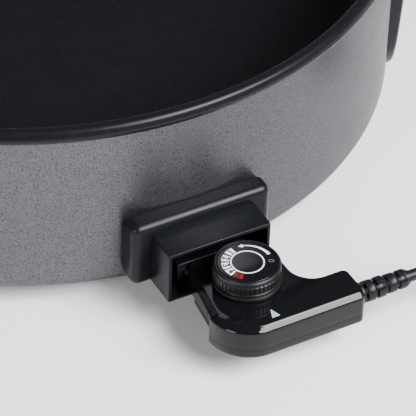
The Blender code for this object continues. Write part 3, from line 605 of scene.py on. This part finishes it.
def make_cord():
    """The whole cable as one round curve, and its length."""
    coil = [coil_point(COIL_TURNS * i / COIL_STEPS) for i in range(COIL_STEPS + 1)]
    lead_in = smooth_path([*CORD_ROUTE, LEAD_IN, coil[0]])
    lead_out = smooth_path([coil[-1], LEAD_OUT, *TAIL_ROUTE])
    path = lead_in[:-1] + coil + lead_out[1:]
    length = sum((b - a).length for a, b in zip(path, path[1:]))
    curve = bpy.data.curves.new("cord_cable", "CURVE")
    curve.dimensions = "3D"
    curve.bevel_depth = CORD_R
    curve.bevel_resolution = 5
    curve.use_fill_caps = True
    spline = curve.splines.new("POLY")
    spline.points.add(len(path) - 1)
    for point, where in zip(spline.points, path):
        point.co = (*where, 1)
    spline.use_smooth = True
    curve.materials.append(FINISH["cord_vinyl"])
    cable = bpy.data.objects.new("cord_cable", curve)
    bpy.context.scene.collection.objects.link(cable)
    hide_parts("power_cord", "cord_coil", "plug_cord")
    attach(cable, "control")
    return cable, length


def make_tie():
    """A flat band around the coil, on the side away from both ends, with its two wires twisted on top."""
    angle = math.radians(135)
    out = Vector((math.cos(angle), math.sin(angle), 0))
    across = Vector((-out.y, out.x, 0))
    up = Vector((0, 0, 1))
    centre = Vector((*COIL_CENTRE, 0))
    loop = fillet([(0.0243, 0.0004, 0.0032), (0.0452, 0.0004, 0.0032), (0.0452, 0.0140, 0.0032),
                   (0.0243, 0.0140, 0.0032)], 8, closed=True)
    outer = offset_loop(loop, -0.0003)
    inner = offset_loop(loop, 0.0003)
    bands = []
    for line, half in ((outer, 0.0017), (outer, -0.0017), (inner, -0.0020), (inner, 0.0020)):
        bands.append([centre + out * r + across * half + up * z for r, z in line])
    parts = [loft(bands, closed=True)]
    knot = centre + out * 0.0350 + up * 0.0150
    steps = 36
    for swing in (0.0008, -0.0008):
        strand = []
        for i in range(steps + 1):
            turn = 6 * math.pi * i / steps
            around = across * math.cos(turn) + up * math.sin(turn)
            strand.append(knot + out * (0.0100 * i / steps) + around * swing)
        parts.append(tube_mesh(strand, 0.0007, 8))
    return finish_piece("cord_tie", joined(*parts), None, "control", material=TIE_WIRE)


def make_relief():
    """A bending sleeve: four split rings on a core, with bridges that alternate by a quarter turn."""
    core = 0.0037
    pitch = 0.0063
    width = 0.0040
    edge = 0.0004
    profile = [(0, 0), (core, 0)]
    kinds = [None, None]
    for i in range(4):
        low = 0.0050 + pitch * i
        radius = 0.0058 - 0.0008 * i / 3
        for r, z, kind in ((core, low - edge, "core"), (radius - edge, low - 0.0002, "ring"),
                           (radius, low + edge, "ring"), (radius, low + width - edge, "ring"),
                           (radius - edge, low + width, "ring"), (core, low + width + 0.0002, "core")):
            profile.append((r, z))
            kinds.append((kind, i, radius))
    profile += [(core, 0.0300), (0.0034, 0.0302), (0, 0.0302)]
    kinds += [None, None, None]

    def shape(angle, index):
        """Each ring has a notch on two sides, and a bridge to the next ring on the other two."""
        if kinds[index] is None:
            return 1.0
        kind, number, radius = kinds[index]
        turned = (math.degrees(angle) + 90 * number) % 180
        if kind == "core" and 28 < turned < 62:
            return (radius - 0.0003) / core
        if kind == "ring" and 118 < turned < 152:
            return 0.0040 / radius
        return 1.0

    sleeve = revolve(profile, 72, shape=shape)
    collar = revolve(fillet([(0, 0), (0.0058, 0), (0.0058, 0.0030, 0.0006), (0.0045, 0.0034), (0, 0.0034)],
                            5), 64)
    start = place(KNOB.x + CASE_END + 0.0003, KNOB.y + CORD_OFFSET_Y, CORD_Z)
    finish_piece("cord_relief", moved(joined(sleeve, collar), start @ SIDEWAYS), "cord_vinyl", "control",
                 ["strain_relief"], sharp_deg=40)


def make_plug():
    """The plug at the cable's end: a ribbed sleeve, a round body with grip rings, and two pins."""
    where = Vector(TAIL_ROUTE[-1])
    corners = [(0, 0.0003), (0.0042, 0.0003)]
    for i in range(5):
        low = 0.0016 + 0.0044 * i
        radius = 0.0046 + 0.0025 * (low / 0.0240)
        corners += [(radius - 0.0008, low), (radius, low + 0.0005), (radius + 0.0002, low + 0.0028),
                    (radius - 0.0006, low + 0.0033)]
    corners += [(0.0072, 0.0243), (0, 0.0243)]
    sleeve = finish_piece("plug_strain_sleeve", moved(revolve(corners, 56), place(*where) @ INWARD),
                          "cord_vinyl", "control", ["plug_sleeve"])
    low = 0.0246
    corners = [(0, low), (0.0105, low, 0.0015), (0.0142, low + 0.0040, 0.003), (0.0172, low + 0.0120, 0.002)]
    for i in range(4):
        z = low + 0.0150 + 0.0032 * i
        corners += [(0.0178, z, 0.0003), (0.0178, z + 0.0018, 0.0003), (0.0171, z + 0.0022, 0.0003),
                    (0.0171, z + 0.0028, 0.0003)]
    corners += [(0.0178, low + 0.0290, 0.0004), (0.0178, low + 0.0330, 0.0010), (0, low + 0.0330)]
    body_mesh = moved(revolve(fillet(corners, 4), 96), place(*where) @ INWARD)
    body = finish_piece("plug_moulding", body_mesh, "cord_vinyl", "control", ["plug_body"])
    pins = []
    for side, word in SIDES:
        pin = revolve(fillet([(0, low + 0.0333), (0.0024, low + 0.0333), (0.0024, low + 0.0523, 0.0020),
                              (0, low + 0.0523)], 6), 36)
        pin = moved(pin, place(where.x + side * 0.0095, where.y, where.z) @ INWARD)
        pins.append(finish_piece("plug_blade_" + word, pin, "steel", "control", ["plug_pin_" + word]))
    return [sleeve, body] + pins


CABLE, CABLE_LENGTH = make_cord()
TIE = make_tie()
make_relief()
PLUG_PIECES = make_plug()


# ---------------------------------------------------------------- pan
PAN = place(0, AXIS_Y, 0)


def shell_radius(z):
    share = (z - SHELL_BOTTOM_Z) / (SHELL_TOP_Z - SHELL_BOTTOM_Z)
    return SHELL_BOTTOM_R + share * (SHELL_TOP_R - SHELL_BOTTOM_R)


def make_shell():
    """The painted outer wall, open above and below, with a window behind the socket."""
    low = SHELL_BOTTOM_Z
    top = SHELL_TOP_Z
    corners = [(0.1880, low + 0.0010), (0.1880, low, 0.0003)]
    corners += [(shell_radius(low), low, 0.0060)]
    corners += [(shell_radius(z), z) for z in (0.03, 0.05, 0.07, 0.09, 0.100)]
    corners += [(shell_radius(top) - 0.0001, top - 0.0030), (shell_radius(top), top, 0.0003)]
    corners += [(shell_radius(top) - 0.0010, top, 0.0002)]
    corners += [(shell_radius(z) - 0.0010, z) for z in (0.09, 0.06, 0.03)]
    corners += [(shell_radius(low) - 0.0010, low + 0.0010, 0.0050)]
    wall = revolve(fillet(corners, 8, closed=True), 240, closed=True)
    window = box((-0.0215, -0.2100, 0.0190), (0.0215, -0.1900, 0.0350))
    wall = carve(wall, [window])
    finish_piece("shell_wall", moved(wall, PAN), "shell_paint", "pan", ["outer_shell"])


def make_inner_pan():
    """The coated bowl with a wide inner corner and a rolled rim."""
    floor = PAN_FLOOR_Z
    inner = [shell_radius(z) - 0.0037 for z in (floor, RIM_Z)]
    corners = [(0, floor), (0.05, floor), (0.10, floor), (0.15, floor), (inner[0], floor, 0.0260)]
    corners += [(inner[0] + (inner[1] - inner[0]) * 0.5, (floor + RIM_Z) / 2)]
    corners += [(inner[1], RIM_Z - 0.0016, 0.0012), (0.1985, RIM_Z + 0.0002, 0.0005),
                (0.1985, RIM_Z + 0.0019, 0.0006), (0.2003, RIM_Z + 0.0032, 0.0014),
                (0.2042, RIM_Z + 0.0034, 0.0034), (0.2066, RIM_Z - 0.0012, 0.0030),
                (0.2050, RIM_Z - 0.0039, 0.0012), (0.2028, RIM_Z - 0.0037)]
    corners += [(inner[1] + 0.0022, SHELL_TOP_Z + 0.0003), (inner[1] + 0.0022, 0.09)]
    corners += [(inner[0] + 0.0022, floor - 0.0030, 0.0290), (0.15, floor - 0.003), (0, floor - 0.003)]
    mesh = revolve(fillet(corners, 10), 240)
    finish_piece("pan_bowl", moved(mesh, PAN), "black_nonstick", "pan", ["inner_pan"])


def make_base():
    """The underside sheet with pressed rings and six vents."""
    low = SHELL_BOTTOM_Z + 0.0013
    corners = [(0.0046, low + 0.0012), (0.0046, low)]
    for radius in (0.040, 0.090, 0.125, 0.178):
        corners += [(radius, low, 0.0012), (radius + 0.0016, low - 0.0008, 0.0012),
                    (radius + 0.0052, low - 0.0008, 0.0012), (radius + 0.0068, low, 0.0012)]
    corners += [(0.1960, low, 0.0002), (0.1960, low + 0.0012, 0.0002)]
    sheet = revolve(fillet(corners, 3, closed=True), 160, closed=True)
    holes = []
    for i in range(6):
        angle = math.radians(60 * i + 20.3)
        where = place(0.15 * math.cos(angle), 0.15 * math.sin(angle), 0)
        holes.append(moved(cylinder(0.006, -0.01, 0.03, 24), where))
    sheet = carve(sheet, holes)
    finish_piece("underside_sheet", moved(sheet, PAN), "zinc_plate", "pan", ["base_plate"])


def make_base_bolt():
    """The threaded stud in the middle of the base, and its nut."""
    low = SHELL_BOTTOM_Z + 0.0013
    profile = fillet([(0, 0.0062), (0.0034, 0.0062), (0.0040, 0.0068)], 2)
    z = 0.0070
    while z < 0.0200:
        profile += [(0.0040, z), (0.0036, z + 0.0004), (0.0040, z + 0.0008)]
        z += 0.0010
    profile += [(0.0040, 0.0490), (0, 0.0490)]
    finish_piece("centre_stud", moved(revolve(profile, 28), PAN), "steel", "pan", ["base_stud"])
    hexagon = arc(0, 0, 0.0075, 0, 300, 5)
    bore = arc(0, 0, 0.0043, 0, 345, 23)
    nut = flat_shape([hexagon, bore], low - 0.0039, low - 0.0003, 0.0003, 2)
    finish_piece("centre_nut", moved(nut, PAN), "steel", "pan", ["base_nut"])


def make_shroud():
    """The socket: a flange with a flat back, a core that reaches the round wall, and an open box."""
    block = box((-FLANGE_HALF_W, -FLANGE_OUT, FLANGE_Z[0]), (FLANGE_HALF_W, -0.1860, FLANGE_Z[1]), 0.0046, 7)
    behind = box((-0.0600, -0.2031, -0.0100), (0.0600, -0.1500, 0.0800))
    core = box((-0.0386, -0.2080, FLANGE_Z[0] + 0.0012), (0.0386, -0.1900, FLANGE_Z[1] - 0.0022), 0.0030, 4)
    outer = box((-SHROUD_HALF_W, -SHROUD_OUT, SHROUD_Z[0]), (SHROUD_HALF_W, -0.2040, SHROUD_Z[1]), 0.0006, 3)
    wall = 0.0018
    inner = box((-SHROUD_HALF_W + wall, -0.2400, SHROUD_Z[0] + wall),
                (SHROUD_HALF_W - wall, -0.2062, SHROUD_Z[1] - wall), 0.0006, 2)
    drum = cylinder(SHELL_TOP_R + 0.0003, 0, 0.12, 360)
    tools = [behind, ("UNION", core), ("UNION", outer), inner, drum]
    for x, radius in ((-PIN_X, 0.0056), (PIN_X, 0.0056), (0, 0.0053)):
        tools.append(moved(cylinder(radius, 0.18, 0.22, 40), place(x, 0, PIN_Z) @ OUTWARD))
    for side in (-1, 1):
        tools.append(moved(cylinder(0.0022, 0.18, 0.2095, 24), place(side * 0.0315, 0, 0.0400) @ OUTWARD))
    shroud = carve(block, tools)
    finish_piece("socket_shroud", moved(shroud, PAN), "black_bakelite", "pan", ["connector_shroud"])


def make_contacts():
    """Two pins in ceramic bushes, and the tube for the probe between them."""
    for side, word in SIDES:
        pin = revolve(fillet([(0, 0.1908), (0.0024, 0.1908), (0.0024, 0.2230, 0.0018), (0, 0.2230)], 6), 40)
        pin = moved(pin, PAN @ place(side * PIN_X, 0, PIN_Z) @ OUTWARD)
        finish_piece("contact_pin_" + word, pin, "steel", "pan", ["terminal_pin_" + word])
        bush = revolve(fillet([(0.0027, 0.1975), (0.0053, 0.1975, 0.0003), (0.0053, 0.2073, 0.0005),
                               (0.0034, 0.2079, 0.0004), (0.0027, 0.2073)], 4, closed=True), 40, closed=True)
        bush = moved(bush, PAN @ place(side * PIN_X, 0, PIN_Z) @ OUTWARD)
        finish_piece("pin_bush_" + word, bush, "ceramic", "pan", ["terminal_insulator_" + word])
    tube = revolve(fillet([(0.0050, 0.2050, 0.0002), (0.0050, 0.1500, 0.001), (0, 0.1500), (0, 0.1512),
                           (0.0040, 0.1512), (0.0040, 0.2050, 0.0002)], 4), 40, closed=True)
    finish_piece("sensor_tube", moved(tube, PAN @ place(0, 0, PIN_Z) @ OUTWARD), "aluminium", "pan",
                 ["probe_well"])


# ---------------------------------------------------------------- legs and handles
LEG_TOP_Z = 0.0920
LEG_PAD = 0.0018
LEG_HALF = SHELL_TOP_R * math.sin(math.radians(32))


def leg_outline():
    """A leg from the side: two feet with an arch between them, and rounded upper corners."""
    foot_out = LEG_HALF - 0.0170
    foot_in = LEG_HALF - 0.0440
    half = [(0.0, 0.0285), (foot_in - 0.0320, 0.0280), (foot_in - 0.0180, 0.0240), (foot_in - 0.0075, 0.0150),
            (foot_in - 0.0010, 0.0040), (foot_in + 0.0020, LEG_PAD), (foot_out - 0.0050, LEG_PAD),
            (foot_out + 0.0010, 0.0030), (LEG_HALF - 0.0078, 0.0070), (LEG_HALF - 0.0022, 0.0170),
            (LEG_HALF - 0.0002, 0.0300), (LEG_HALF, 0.0550), (LEG_HALF, LEG_TOP_Z - 0.0120),
            (LEG_HALF - 0.0040, LEG_TOP_Z - 0.0032), (LEG_HALF - 0.0125, LEG_TOP_Z), (0.0600, LEG_TOP_Z),
            (0.0300, LEG_TOP_Z)]
    points = half + [(0, LEG_TOP_Z)] + [(-a, b) for a, b in reversed(half[1:])]
    return smooth_loop(points, 5)


def leg_outer_radius(z):
    marks = [(0.0, 0.2052), (0.0128, 0.2066), (0.0256, 0.2079), (0.0520, 0.2097), (0.0940, 0.2115)]
    for (z0, r0), (z1, r1) in zip(marks, marks[1:]):
        if z <= z1:
            return r0 + (r1 - r0) * max(0.0, z - z0) / (z1 - z0)
    return marks[-1][1]


def leg_inner_radius(z):
    if z < 0.0099:
        return 0.1962
    if z < 0.0162:
        return 0.1963 + math.sqrt(max(0.0, 0.0063 ** 2 - (0.0162 - z) ** 2))
    return shell_radius(z) + 0.0003


def make_leg(word, side):
    def front(a, b, drop):
        radius = leg_outer_radius(b) - drop
        return Vector((side * math.sqrt(radius * radius - a * a), a, b))

    def back(a, b):
        radius = leg_inner_radius(b)
        return Vector((side * math.sqrt(radius * radius - a * a), a, b))

    outline = leg_outline()
    leg = cushion(outline, front, back, 0.0016, 0.0045, (0.0098, 0.0100, 0.0115, 0.0135, 0.0162))
    recess = []
    for azimuth in (-7.5, 7.5):
        turn = Matrix.Rotation(math.radians(90 * side + azimuth), 4, "Z") @ OUTWARD
        recess.append(moved(cylinder(0.0037, 0.195, 0.2064, 28), place(0, 0, 0.0715) @ turn))
    leg = carve(leg, recess)
    finish_piece("leg_moulding_" + word, moved(leg, PAN), "black_bakelite", "pan", ["leg_" + word])
    for end in (-1, 1):
        y = end * (LEG_HALF - 0.0300)
        x = side * math.sqrt(0.2012 ** 2 - y ** 2)
        top = LEG_PAD - 0.0003
        pad = revolve(fillet([(0, 0), (0.0032, 0, 0.0004), (0.0032, top), (0, top)], 4), 40)
        end_word = "front" if end < 0 else "rear"
        finish_piece(f"pad_{word}_{end_word}", moved(pad, PAN @ place(x, y, 0)), "rubber", "pan",
                     [f"foot_pad_{word}_{end_word}"])


def make_handle(word, side):
    """A bow handle: a plate with a curved outside, a root along the leg, and a finger opening."""
    bow = [(0.2150, -0.0630), (0.2270, -0.0580), (0.2390, -0.0500), (0.2470, -0.0400), (0.2505, -0.0260),
           (0.2515, -0.0100)]
    bow += [(x, -y) for x, y in reversed(bow)]
    outline = []
    for i in range(len(bow) - 1):
        a, b, c, d = (Vector(bow[min(max(i + k, 0), len(bow) - 1)]) for k in (-1, 0, 1, 2))
        for k in range(6):
            p = spline_point(a, b, c, d, k / 6)
            outline.append((p.x, p.y))
    outline.append(bow[-1])
    root = 0.2114
    end = math.asin(0.0636 / root)
    for i in range(25):
        angle = end - 2 * end * i / 24
        outline.append((root * math.cos(angle), root * math.sin(angle)))
    hole = [(0.2180, -0.0420), (0.2235, -0.0440), (0.2320, -0.0380), (0.2372, -0.0280), (0.2388, -0.0120)]
    hole += [(x, -y) for x, y in reversed(hole)] + [(0.2178, 0.0150), (0.2178, -0.0150)]
    hole = smooth_loop(hole, 6)
    if side < 0:
        outline = [(-x, y) for x, y in reversed(outline)]
        hole = [(-x, y) for x, y in reversed(hole)]
    grip = flat_shape([outline, hole], 0.0640, 0.0790, 0.0032, 5)
    finish_piece("bow_handle_" + word, moved(grip, PAN), "black_bakelite", "pan", ["handle_" + word])


# ---------------------------------------------------------------- plug-in control
PAINT = 0.00004


def control_plan(inset, back, rear, waist):
    """The control's plan from the knob's axis, with +Y towards the pan.

    inset draws in the front and left, and back the other sides, which otherwise follow inset.
    """
    s = inset
    t = inset if back is None else back
    rear = rear - t
    step = min(0.0177 - t, rear)
    front = -0.0357 + s
    end = CASE_END - t
    left_rear = -0.0217 + s
    right = 0.0227 - t
    r = max(0.0035 - s * 0.6, 0.0012)
    shoulder = 180 + math.degrees(math.asin((0.0003 + s) / (0.0222 - s)))
    points = arc(left_rear + r, rear - r, r, 90, 180, 8)
    points += [(waist + s, -0.0112 - s), (waist + s - 0.0001, -0.0128 - s), (waist + s - 0.0004, -0.0134 - s)]
    points += arc(-0.0063, -0.0137, 0.0222 - s, shoulder, 270, 36)
    r = max(0.0030 - t * 0.5, 0.0010)
    points += arc(end - r, front + r, r, -90, 0, 8)
    points += arc(end - r, -0.0145 - t - r, r, 0, 90, 8)
    points += arc(0.0360, -0.0012, 0.0133 + t, -90, -180, 28)
    points += arc(right - 0.0040, step - 0.0040, 0.0040, 0, 60, 8)
    points += arc(0.0195 - t - 0.0030, rear - 0.0030, 0.0030, 0, 90, 8)
    return points


def plan_ring(inset, z, back=None, rear=COVER_REAR, waist=WAIST_TOP):
    return [Vector((KNOB.x + x, KNOB.y + y, z)) for x, y in control_plan(inset, back, rear, waist)]


def cover_waist(z):
    """The left side leans out, from a narrow waist at the parting line to the full width at the top."""
    share = min(1.0, max(0.0, (z - PARTING_Z) / 0.0095))
    return WAIST_LOW + (WAIST_TOP - WAIST_LOW) * share


def case_grooves():
    """Two upright grooves on the left side, just behind its shoulder."""
    tools = []
    for y in (-0.0070, -0.0105):
        groove = box((-0.0330, y - 0.0005, 0.0165), (-0.0252, y + 0.0005, 0.0286), 0.0002, 2)
        tools.append(moved(groove, place(KNOB.x, KNOB.y, 0)))
    return tools


def cord_bore():
    bore = cylinder(0.0040, 0.0300, 0.0600, 32)
    return moved(bore, place(KNOB.x, KNOB.y + CORD_OFFSET_Y, CORD_Z) @ SIDEWAYS)


def make_cover():
    """The upper half, hollow from below, with a wide chamfer along the front and a hole for the spindle."""
    wall = 0.0020
    top = DECK_Z
    low = PARTING_Z + SEAM_HALF
    slim = cover_waist(low)
    rings = [plan_ring(wall + 0.0004, top - wall, waist=slim),
             plan_ring(wall, top - wall - 0.0006, waist=slim), plan_ring(wall, low, waist=slim)]
    rings.append(plan_ring(0.00003, low, waist=slim))
    rings += [plan_ring(0.0, z, waist=cover_waist(z)) for z in (low + 0.0002, 0.0230, 0.0255, 0.0280, 0.0298)]
    chamfer = ((0.00006, 0.0029, 0.0), (0.0003, 0.0024, 0.0), (0.0006, 0.0021, 0.0), (0.0018, 0.00095, 0.0),
               (0.0021, 0.0007, 0.0), (0.0025, 0.0003, 0.0001), (0.0029, 0.00006, 0.0003),
               (0.0034, 0.00001, 0.0006), (0.0039, 0.0, 0.0009))
    rings += [plan_ring(inset, top - drop, back) for inset, drop, back in chamfer]
    cover = loft(rings, hole=(KNOB.x, KNOB.y, 0.0036, 32))
    window = moved(box((-0.0165, 0.0200, 0.0215), (0.0165, 0.0300, 0.0310)), place(0, KNOB.y, 0))
    cover = carve(cover, [window, cord_bore()] + case_grooves())
    finish_piece("case_upper", cover, "gloss_black", "control", ["control_cover"], sharp_deg=24)


def make_case_base():
    """The lower half, a tray with a rounded bottom edge and three screws."""
    wall = 0.0020
    low = CASE_BOTTOM_Z
    high = PARTING_Z - SEAM_HALF

    def ring(inset, z):
        return plan_ring(inset, z, rear=BASE_REAR, waist=BASE_WAIST)

    rings = [ring(wall, low + wall), ring(wall, high), ring(0.00003, high), ring(0.0, high - 0.0002),
             ring(0.0, low + 0.0016)]
    for k in range(1, 6):
        t = math.radians(18 * k)
        rings.append(ring(0.0016 * (1 - math.cos(t)), low + 0.0016 * (1 - math.sin(t))))
    rings.append(ring(0.0020, low))
    base = loft(rings)
    tools = [cord_bore()]
    for x, y in CASE_SCREWS:
        bore = revolve([(0, 0.0), (SCREW_BORE_R, 0.0), (SCREW_BORE_R, low + 0.0015), (0.0020, low + 0.0015),
                        (0.0020, 0.05), (0, 0.05)], 32)
        tools.append(moved(bore, place(KNOB.x + x, KNOB.y + y, 0)))
    base = carve(base, tools + case_grooves())
    finish_piece("case_lower", base, "gloss_black", "control", ["control_base"], sharp_deg=24)
    for number, (x, y) in enumerate(CASE_SCREWS, 1):
        screw = screw_head(0.0030, 0.0010, 0.0015, 0.0148)
        finish_piece(f"lower_screw_{number}", moved(screw, place(KNOB.x + x, KNOB.y + y, low + 0.0002)),
                     "steel", "control", [f"case_screw_{number}"])


def make_pointer():
    """The painted wedge on the deck that the dial is read against."""
    pointer = flat_shape([[(-0.0022, -0.0300), (0.0022, -0.0300), (0.0003, -0.0245), (-0.0003, -0.0245)]],
                         DECK_Z - 0.0003, DECK_Z + 0.00015, 0.00008, 2)
    finish_piece("pointer_mark", moved(pointer, place(KNOB.x, KNOB.y, 0)), "marker_blue", "control",
                 ["dial_marker"])


def make_nose():
    """The block that goes into the socket, with two contact sleeves and the temperature probe."""
    rear = KNOB_OUT - 0.2085
    block = box((-0.0200, 0.0256, 0.0202), (0.0200, rear, DECK_Z - 0.0004), 0.0008, 3)
    tools = []
    for x, radius in ((-PIN_X, 0.0044), (PIN_X, 0.0044), (0, 0.0036)):
        tools.append(moved(cylinder(radius, -0.05, 0.0, 36), place(x, 0, PIN_Z) @ OUTWARD))
    finish_piece("nose_block", moved(carve(block, tools), place(0, KNOB.y, 0)), "black_bakelite", "control",
                 ["socket_block"])
    for side, word in SIDES:
        sleeve = revolve(fillet([(0.0041, -0.0183), (0.0041, -0.0403, 0.0003), (0.0029, -0.0403, 0.0004),
                                 (0.0029, -0.0183)], 3, closed=True), 36, closed=True)
        slit = box((-0.0003, 0.0, -0.0420), (0.0003, 0.0060, -0.0250))
        sleeve = moved(carve(sleeve, [slit]), place(side * PIN_X, KNOB.y, PIN_Z) @ OUTWARD)
        finish_piece("contact_sleeve_" + word, sleeve, "brass", "control", ["contact_socket_" + word])
    probe = revolve(fillet([(0, -0.0230), (0.0033, -0.0230), (0.0033, -0.0852, 0.0030), (0, -0.0852)], 8), 40)
    probe = moved(probe, place(0, KNOB.y, PIN_Z) @ OUTWARD)
    finish_piece("temperature_probe", probe, "steel", "control", ["sensor_probe"])


def make_knob():
    """The knob with a band of narrow grooves, its printed disc and its spindle."""
    low = DECK_Z + 0.0004
    top = DECK_Z + 0.0122
    ribs = 44
    corners = [(0, top - 0.0008), (0.0154, top - 0.0008), (0.0154, top, 0.0002),
               (0.0163, top + 0.00003, 0.0003), (0.0170, top - 0.0008, 0.0004),
               (0.0170, top - 0.0024, 0.0003)]
    band = [(0.0167, top - 0.0027), (0.0171, top - 0.0031), (0.0171, top - 0.0050), (0.0171, top - 0.0072),
            (0.0167, top - 0.0076)]
    tail = [(0.0170, top - 0.0079, 0.0002), (0.0170, top - 0.0086, 0.0004), (0.0162, top - 0.0089, 0.0003),
            (0.0162, top - 0.0093, 0.0003), (0.0176, top - 0.0097, 0.0004), (0.0176, low + 0.0004, 0.0004),
            (0.0171, low, 0.0002), (0.0033, low), (0.0033, top - 0.0034), (0, top - 0.0034)]
    first = fillet(corners + [band[0]], 5)[:-1]
    last = fillet([band[-1]] + tail, 5)[1:]
    profile = first + band + last
    rows = range(len(first) + 1, len(first) + 4)

    def shape(angle, index):
        if index in rows:
            return 1.0 - 0.026 * max(0.0, math.cos(angle * ribs)) ** 4
        return 1.0

    grip = moved(revolve(profile, ribs * 6, shape=shape), place(KNOB.x, KNOB.y, 0))
    finish_piece("knob_body", grip, "gloss_black", "knob", ["knob_grip"], material=KNOB_PLASTIC,
                 sharp_deg=30)
    disc = revolve(fillet([(0, top - 0.0007), (0.0151, top - 0.0007), (0.0151, top - 0.0001, 0.0003),
                           (0, top - 0.0001)], 4), 128)
    finish_piece("dial_disc", moved(disc, place(KNOB.x, KNOB.y, 0)), "dial_print", "knob", ["knob_cap"])
    spindle = revolve(fillet([(0, 0.0250), (0.0029, 0.0250, 0.0004), (0.0029, top - 0.0037, 0.0003),
                              (0, top - 0.0037)], 3), 32)
    finish_piece("knob_shaft", moved(spindle, place(KNOB.x, KNOB.y, 0)), "steel", "knob", ["knob_spindle"])
    make_dial_print(top - 0.0001)


def dial_point(radius, clockwise_deg):
    """A point on the dial, at an angle that runs clockwise from +X."""
    angle = math.radians(-clockwise_deg)
    return (radius * math.cos(angle), radius * math.sin(angle))


def sector(inner, outer, start, end):
    """An annular sector between two clockwise angles, as an anticlockwise loop."""
    steps = 12
    loop = [dial_point(outer, end + (start - end) * i / steps) for i in range(steps + 1)]
    loop += [dial_point(inner, start + (end - start) * i / steps) for i in range(steps + 1)]
    return loop


def print_piece(name, loops, z, material):
    """A layer of paint on the dial."""
    mesh = flat_shape(loops, z, z + PAINT, PAINT * 0.2, 1)
    finish_piece(name, moved(mesh, place(KNOB.x, KNOB.y, 0)), None, "knob", material=material)


def numeral(text, radius, clockwise_deg, z, material, swell):
    """A digit on the dial, with its top towards the middle. swell makes its strokes bolder."""
    name = "print_digit_" + text
    size = 0.0046
    curve = bpy.data.curves.new(name, "FONT")
    curve.body = text
    curve.size = 1.0
    curve.align_x = "CENTER"
    curve.align_y = "CENTER"
    curve.extrude = PAINT / 2 / size
    curve.offset = swell / size
    mesh = baked(bpy.data.objects.new(name, curve))
    bpy.data.curves.remove(curve)
    x, y = dial_point(radius, clockwise_deg)
    turn = Matrix.Rotation(math.radians(90 - clockwise_deg), 4, "Z")
    mesh.transform(place(KNOB.x + x, KNOB.y + y, z) @ turn @ Matrix.Scale(size, 4))
    finish_piece(name, mesh, None, "knob", material=material)


def make_dial_print(z):
    """A ring, blocks with the digits 1 to 5, a zero, and an arrow that narrows to its head."""
    circles = [[dial_point(radius, -angle) for angle in range(0, 360, 3)] for radius in (0.0086, 0.0079)]
    print_piece("print_ring", circles, z, PRINT_WHITE)
    places = {"1": 249, "2": 221, "3": 193, "4": 167, "5": 141}
    for text, angle in places.items():
        material = PRINT_RED if text == "5" else PRINT_WHITE
        print_piece("print_block_" + text, [sector(0.0092, 0.0130, angle - 10.8, angle + 10.8)], z, material)
        numeral(text, 0.0111, angle, z + PAINT * 1.5, PRINT_DARK, 0.00021)
    numeral("0", 0.0121, 22, z + PAINT * 0.75, PRINT_GREY, 0.0)
    tail, neck, head = 358, 288, 276
    middle = 0.0124
    outer = []
    inner = []
    for i in range(25):
        share = i / 24
        angle = tail + (neck - tail) * share
        half = 0.00085 * (1 - share) + 0.00020 * share
        outer.append(dial_point(middle + half, angle))
        inner.append(dial_point(middle - half, angle))
    print_piece("print_arrow", [outer + list(reversed(inner))], z, PRINT_WHITE)
    barb = [dial_point(middle - 0.0012, neck), dial_point(middle + 0.0012, neck), dial_point(middle, head)]
    print_piece("print_arrowhead", [barb], z, PRINT_WHITE)


# ---------------------------------------------------------------- pieces kept from the CAD
def finish_cad_nodes():
    """Gives the nodes that are shown as they are the same finishes, and soft edges."""
    slots = {row["node"]: row["material_slot"] for row in frame["record"]["subparts"]}
    for name, node in frame["nodes"].items():
        if node.hide_render:
            continue
        node.data.materials.clear()
        node.data.materials.append(FINISH[slots[name]])
        node.data.shade_smooth()
        node.data.set_sharp_from_angle(angle=math.radians(30))


# ---------------------------------------------------------------- studio
def make_light(name, where, aim, width, height, power):
    data = bpy.data.lights.new(name, "AREA")
    data.shape = "RECTANGLE"
    data.size = width
    data.size_y = height
    data.energy = power
    light = bpy.data.objects.new(name, data)
    bpy.context.scene.collection.objects.link(light)
    light.location = where
    light.rotation_euler = (Vector(aim) - Vector(where)).to_track_quat("-Z", "Y").to_euler()


def make_floor():
    floor = bpy.data.meshes.new("floor")
    floor.from_pydata([(-6, -6, 0), (6, -6, 0), (6, 6, 0), (-6, 6, 0)], [], [(0, 1, 2, 3)])
    paper = bpy.data.materials.new("studio_paper")
    paper.use_nodes = True
    shader = paper.node_tree.nodes["Principled BSDF"]
    shader.inputs["Base Color"].default_value = (0.90, 0.90, 0.90, 1)
    shader.inputs["Roughness"].default_value = 0.9
    floor.materials.append(paper)
    ground = bpy.data.objects.new("floor", floor)
    bpy.context.scene.collection.objects.link(ground)
    ground.location.z = -0.0002


def make_sky():
    """A dim, even light from all around."""
    world = bpy.data.worlds.new("studio")
    world.use_nodes = True
    sky = world.node_tree.nodes["Background"]
    sky.inputs["Color"].default_value = (1.0, 1.0, 1.0, 1)
    sky.inputs["Strength"].default_value = 0.17
    bpy.context.scene.world = world


def make_studio():
    make_floor()
    make_sky()
    make_light("key", (0.85, -1.64, 1.50), (0, -0.25, 0.03), 1.6, 0.75, 115)
    make_light("top", (0.88, -1.20, 2.00), (0, -0.2, 0.1), 1.0, 0.8, 62)
    make_light("side", (-1.9, -0.9, 0.9), (0, -0.1, 0.05), 0.8, 1.0, 30)
    make_light("back", (1.1, 2.4, 0.75), (0, 0.0, 0.1), 2.4, 0.35, 9)


make_shell()
make_inner_pan()
make_base()
make_base_bolt()
make_shroud()
make_contacts()
for side_sign, side_word in SIDES:
    make_leg(side_word, side_sign)
    make_handle(side_word, side_sign)
make_cover()
make_case_base()
make_pointer()
make_nose()
make_knob()
finish_cad_nodes()
make_studio()
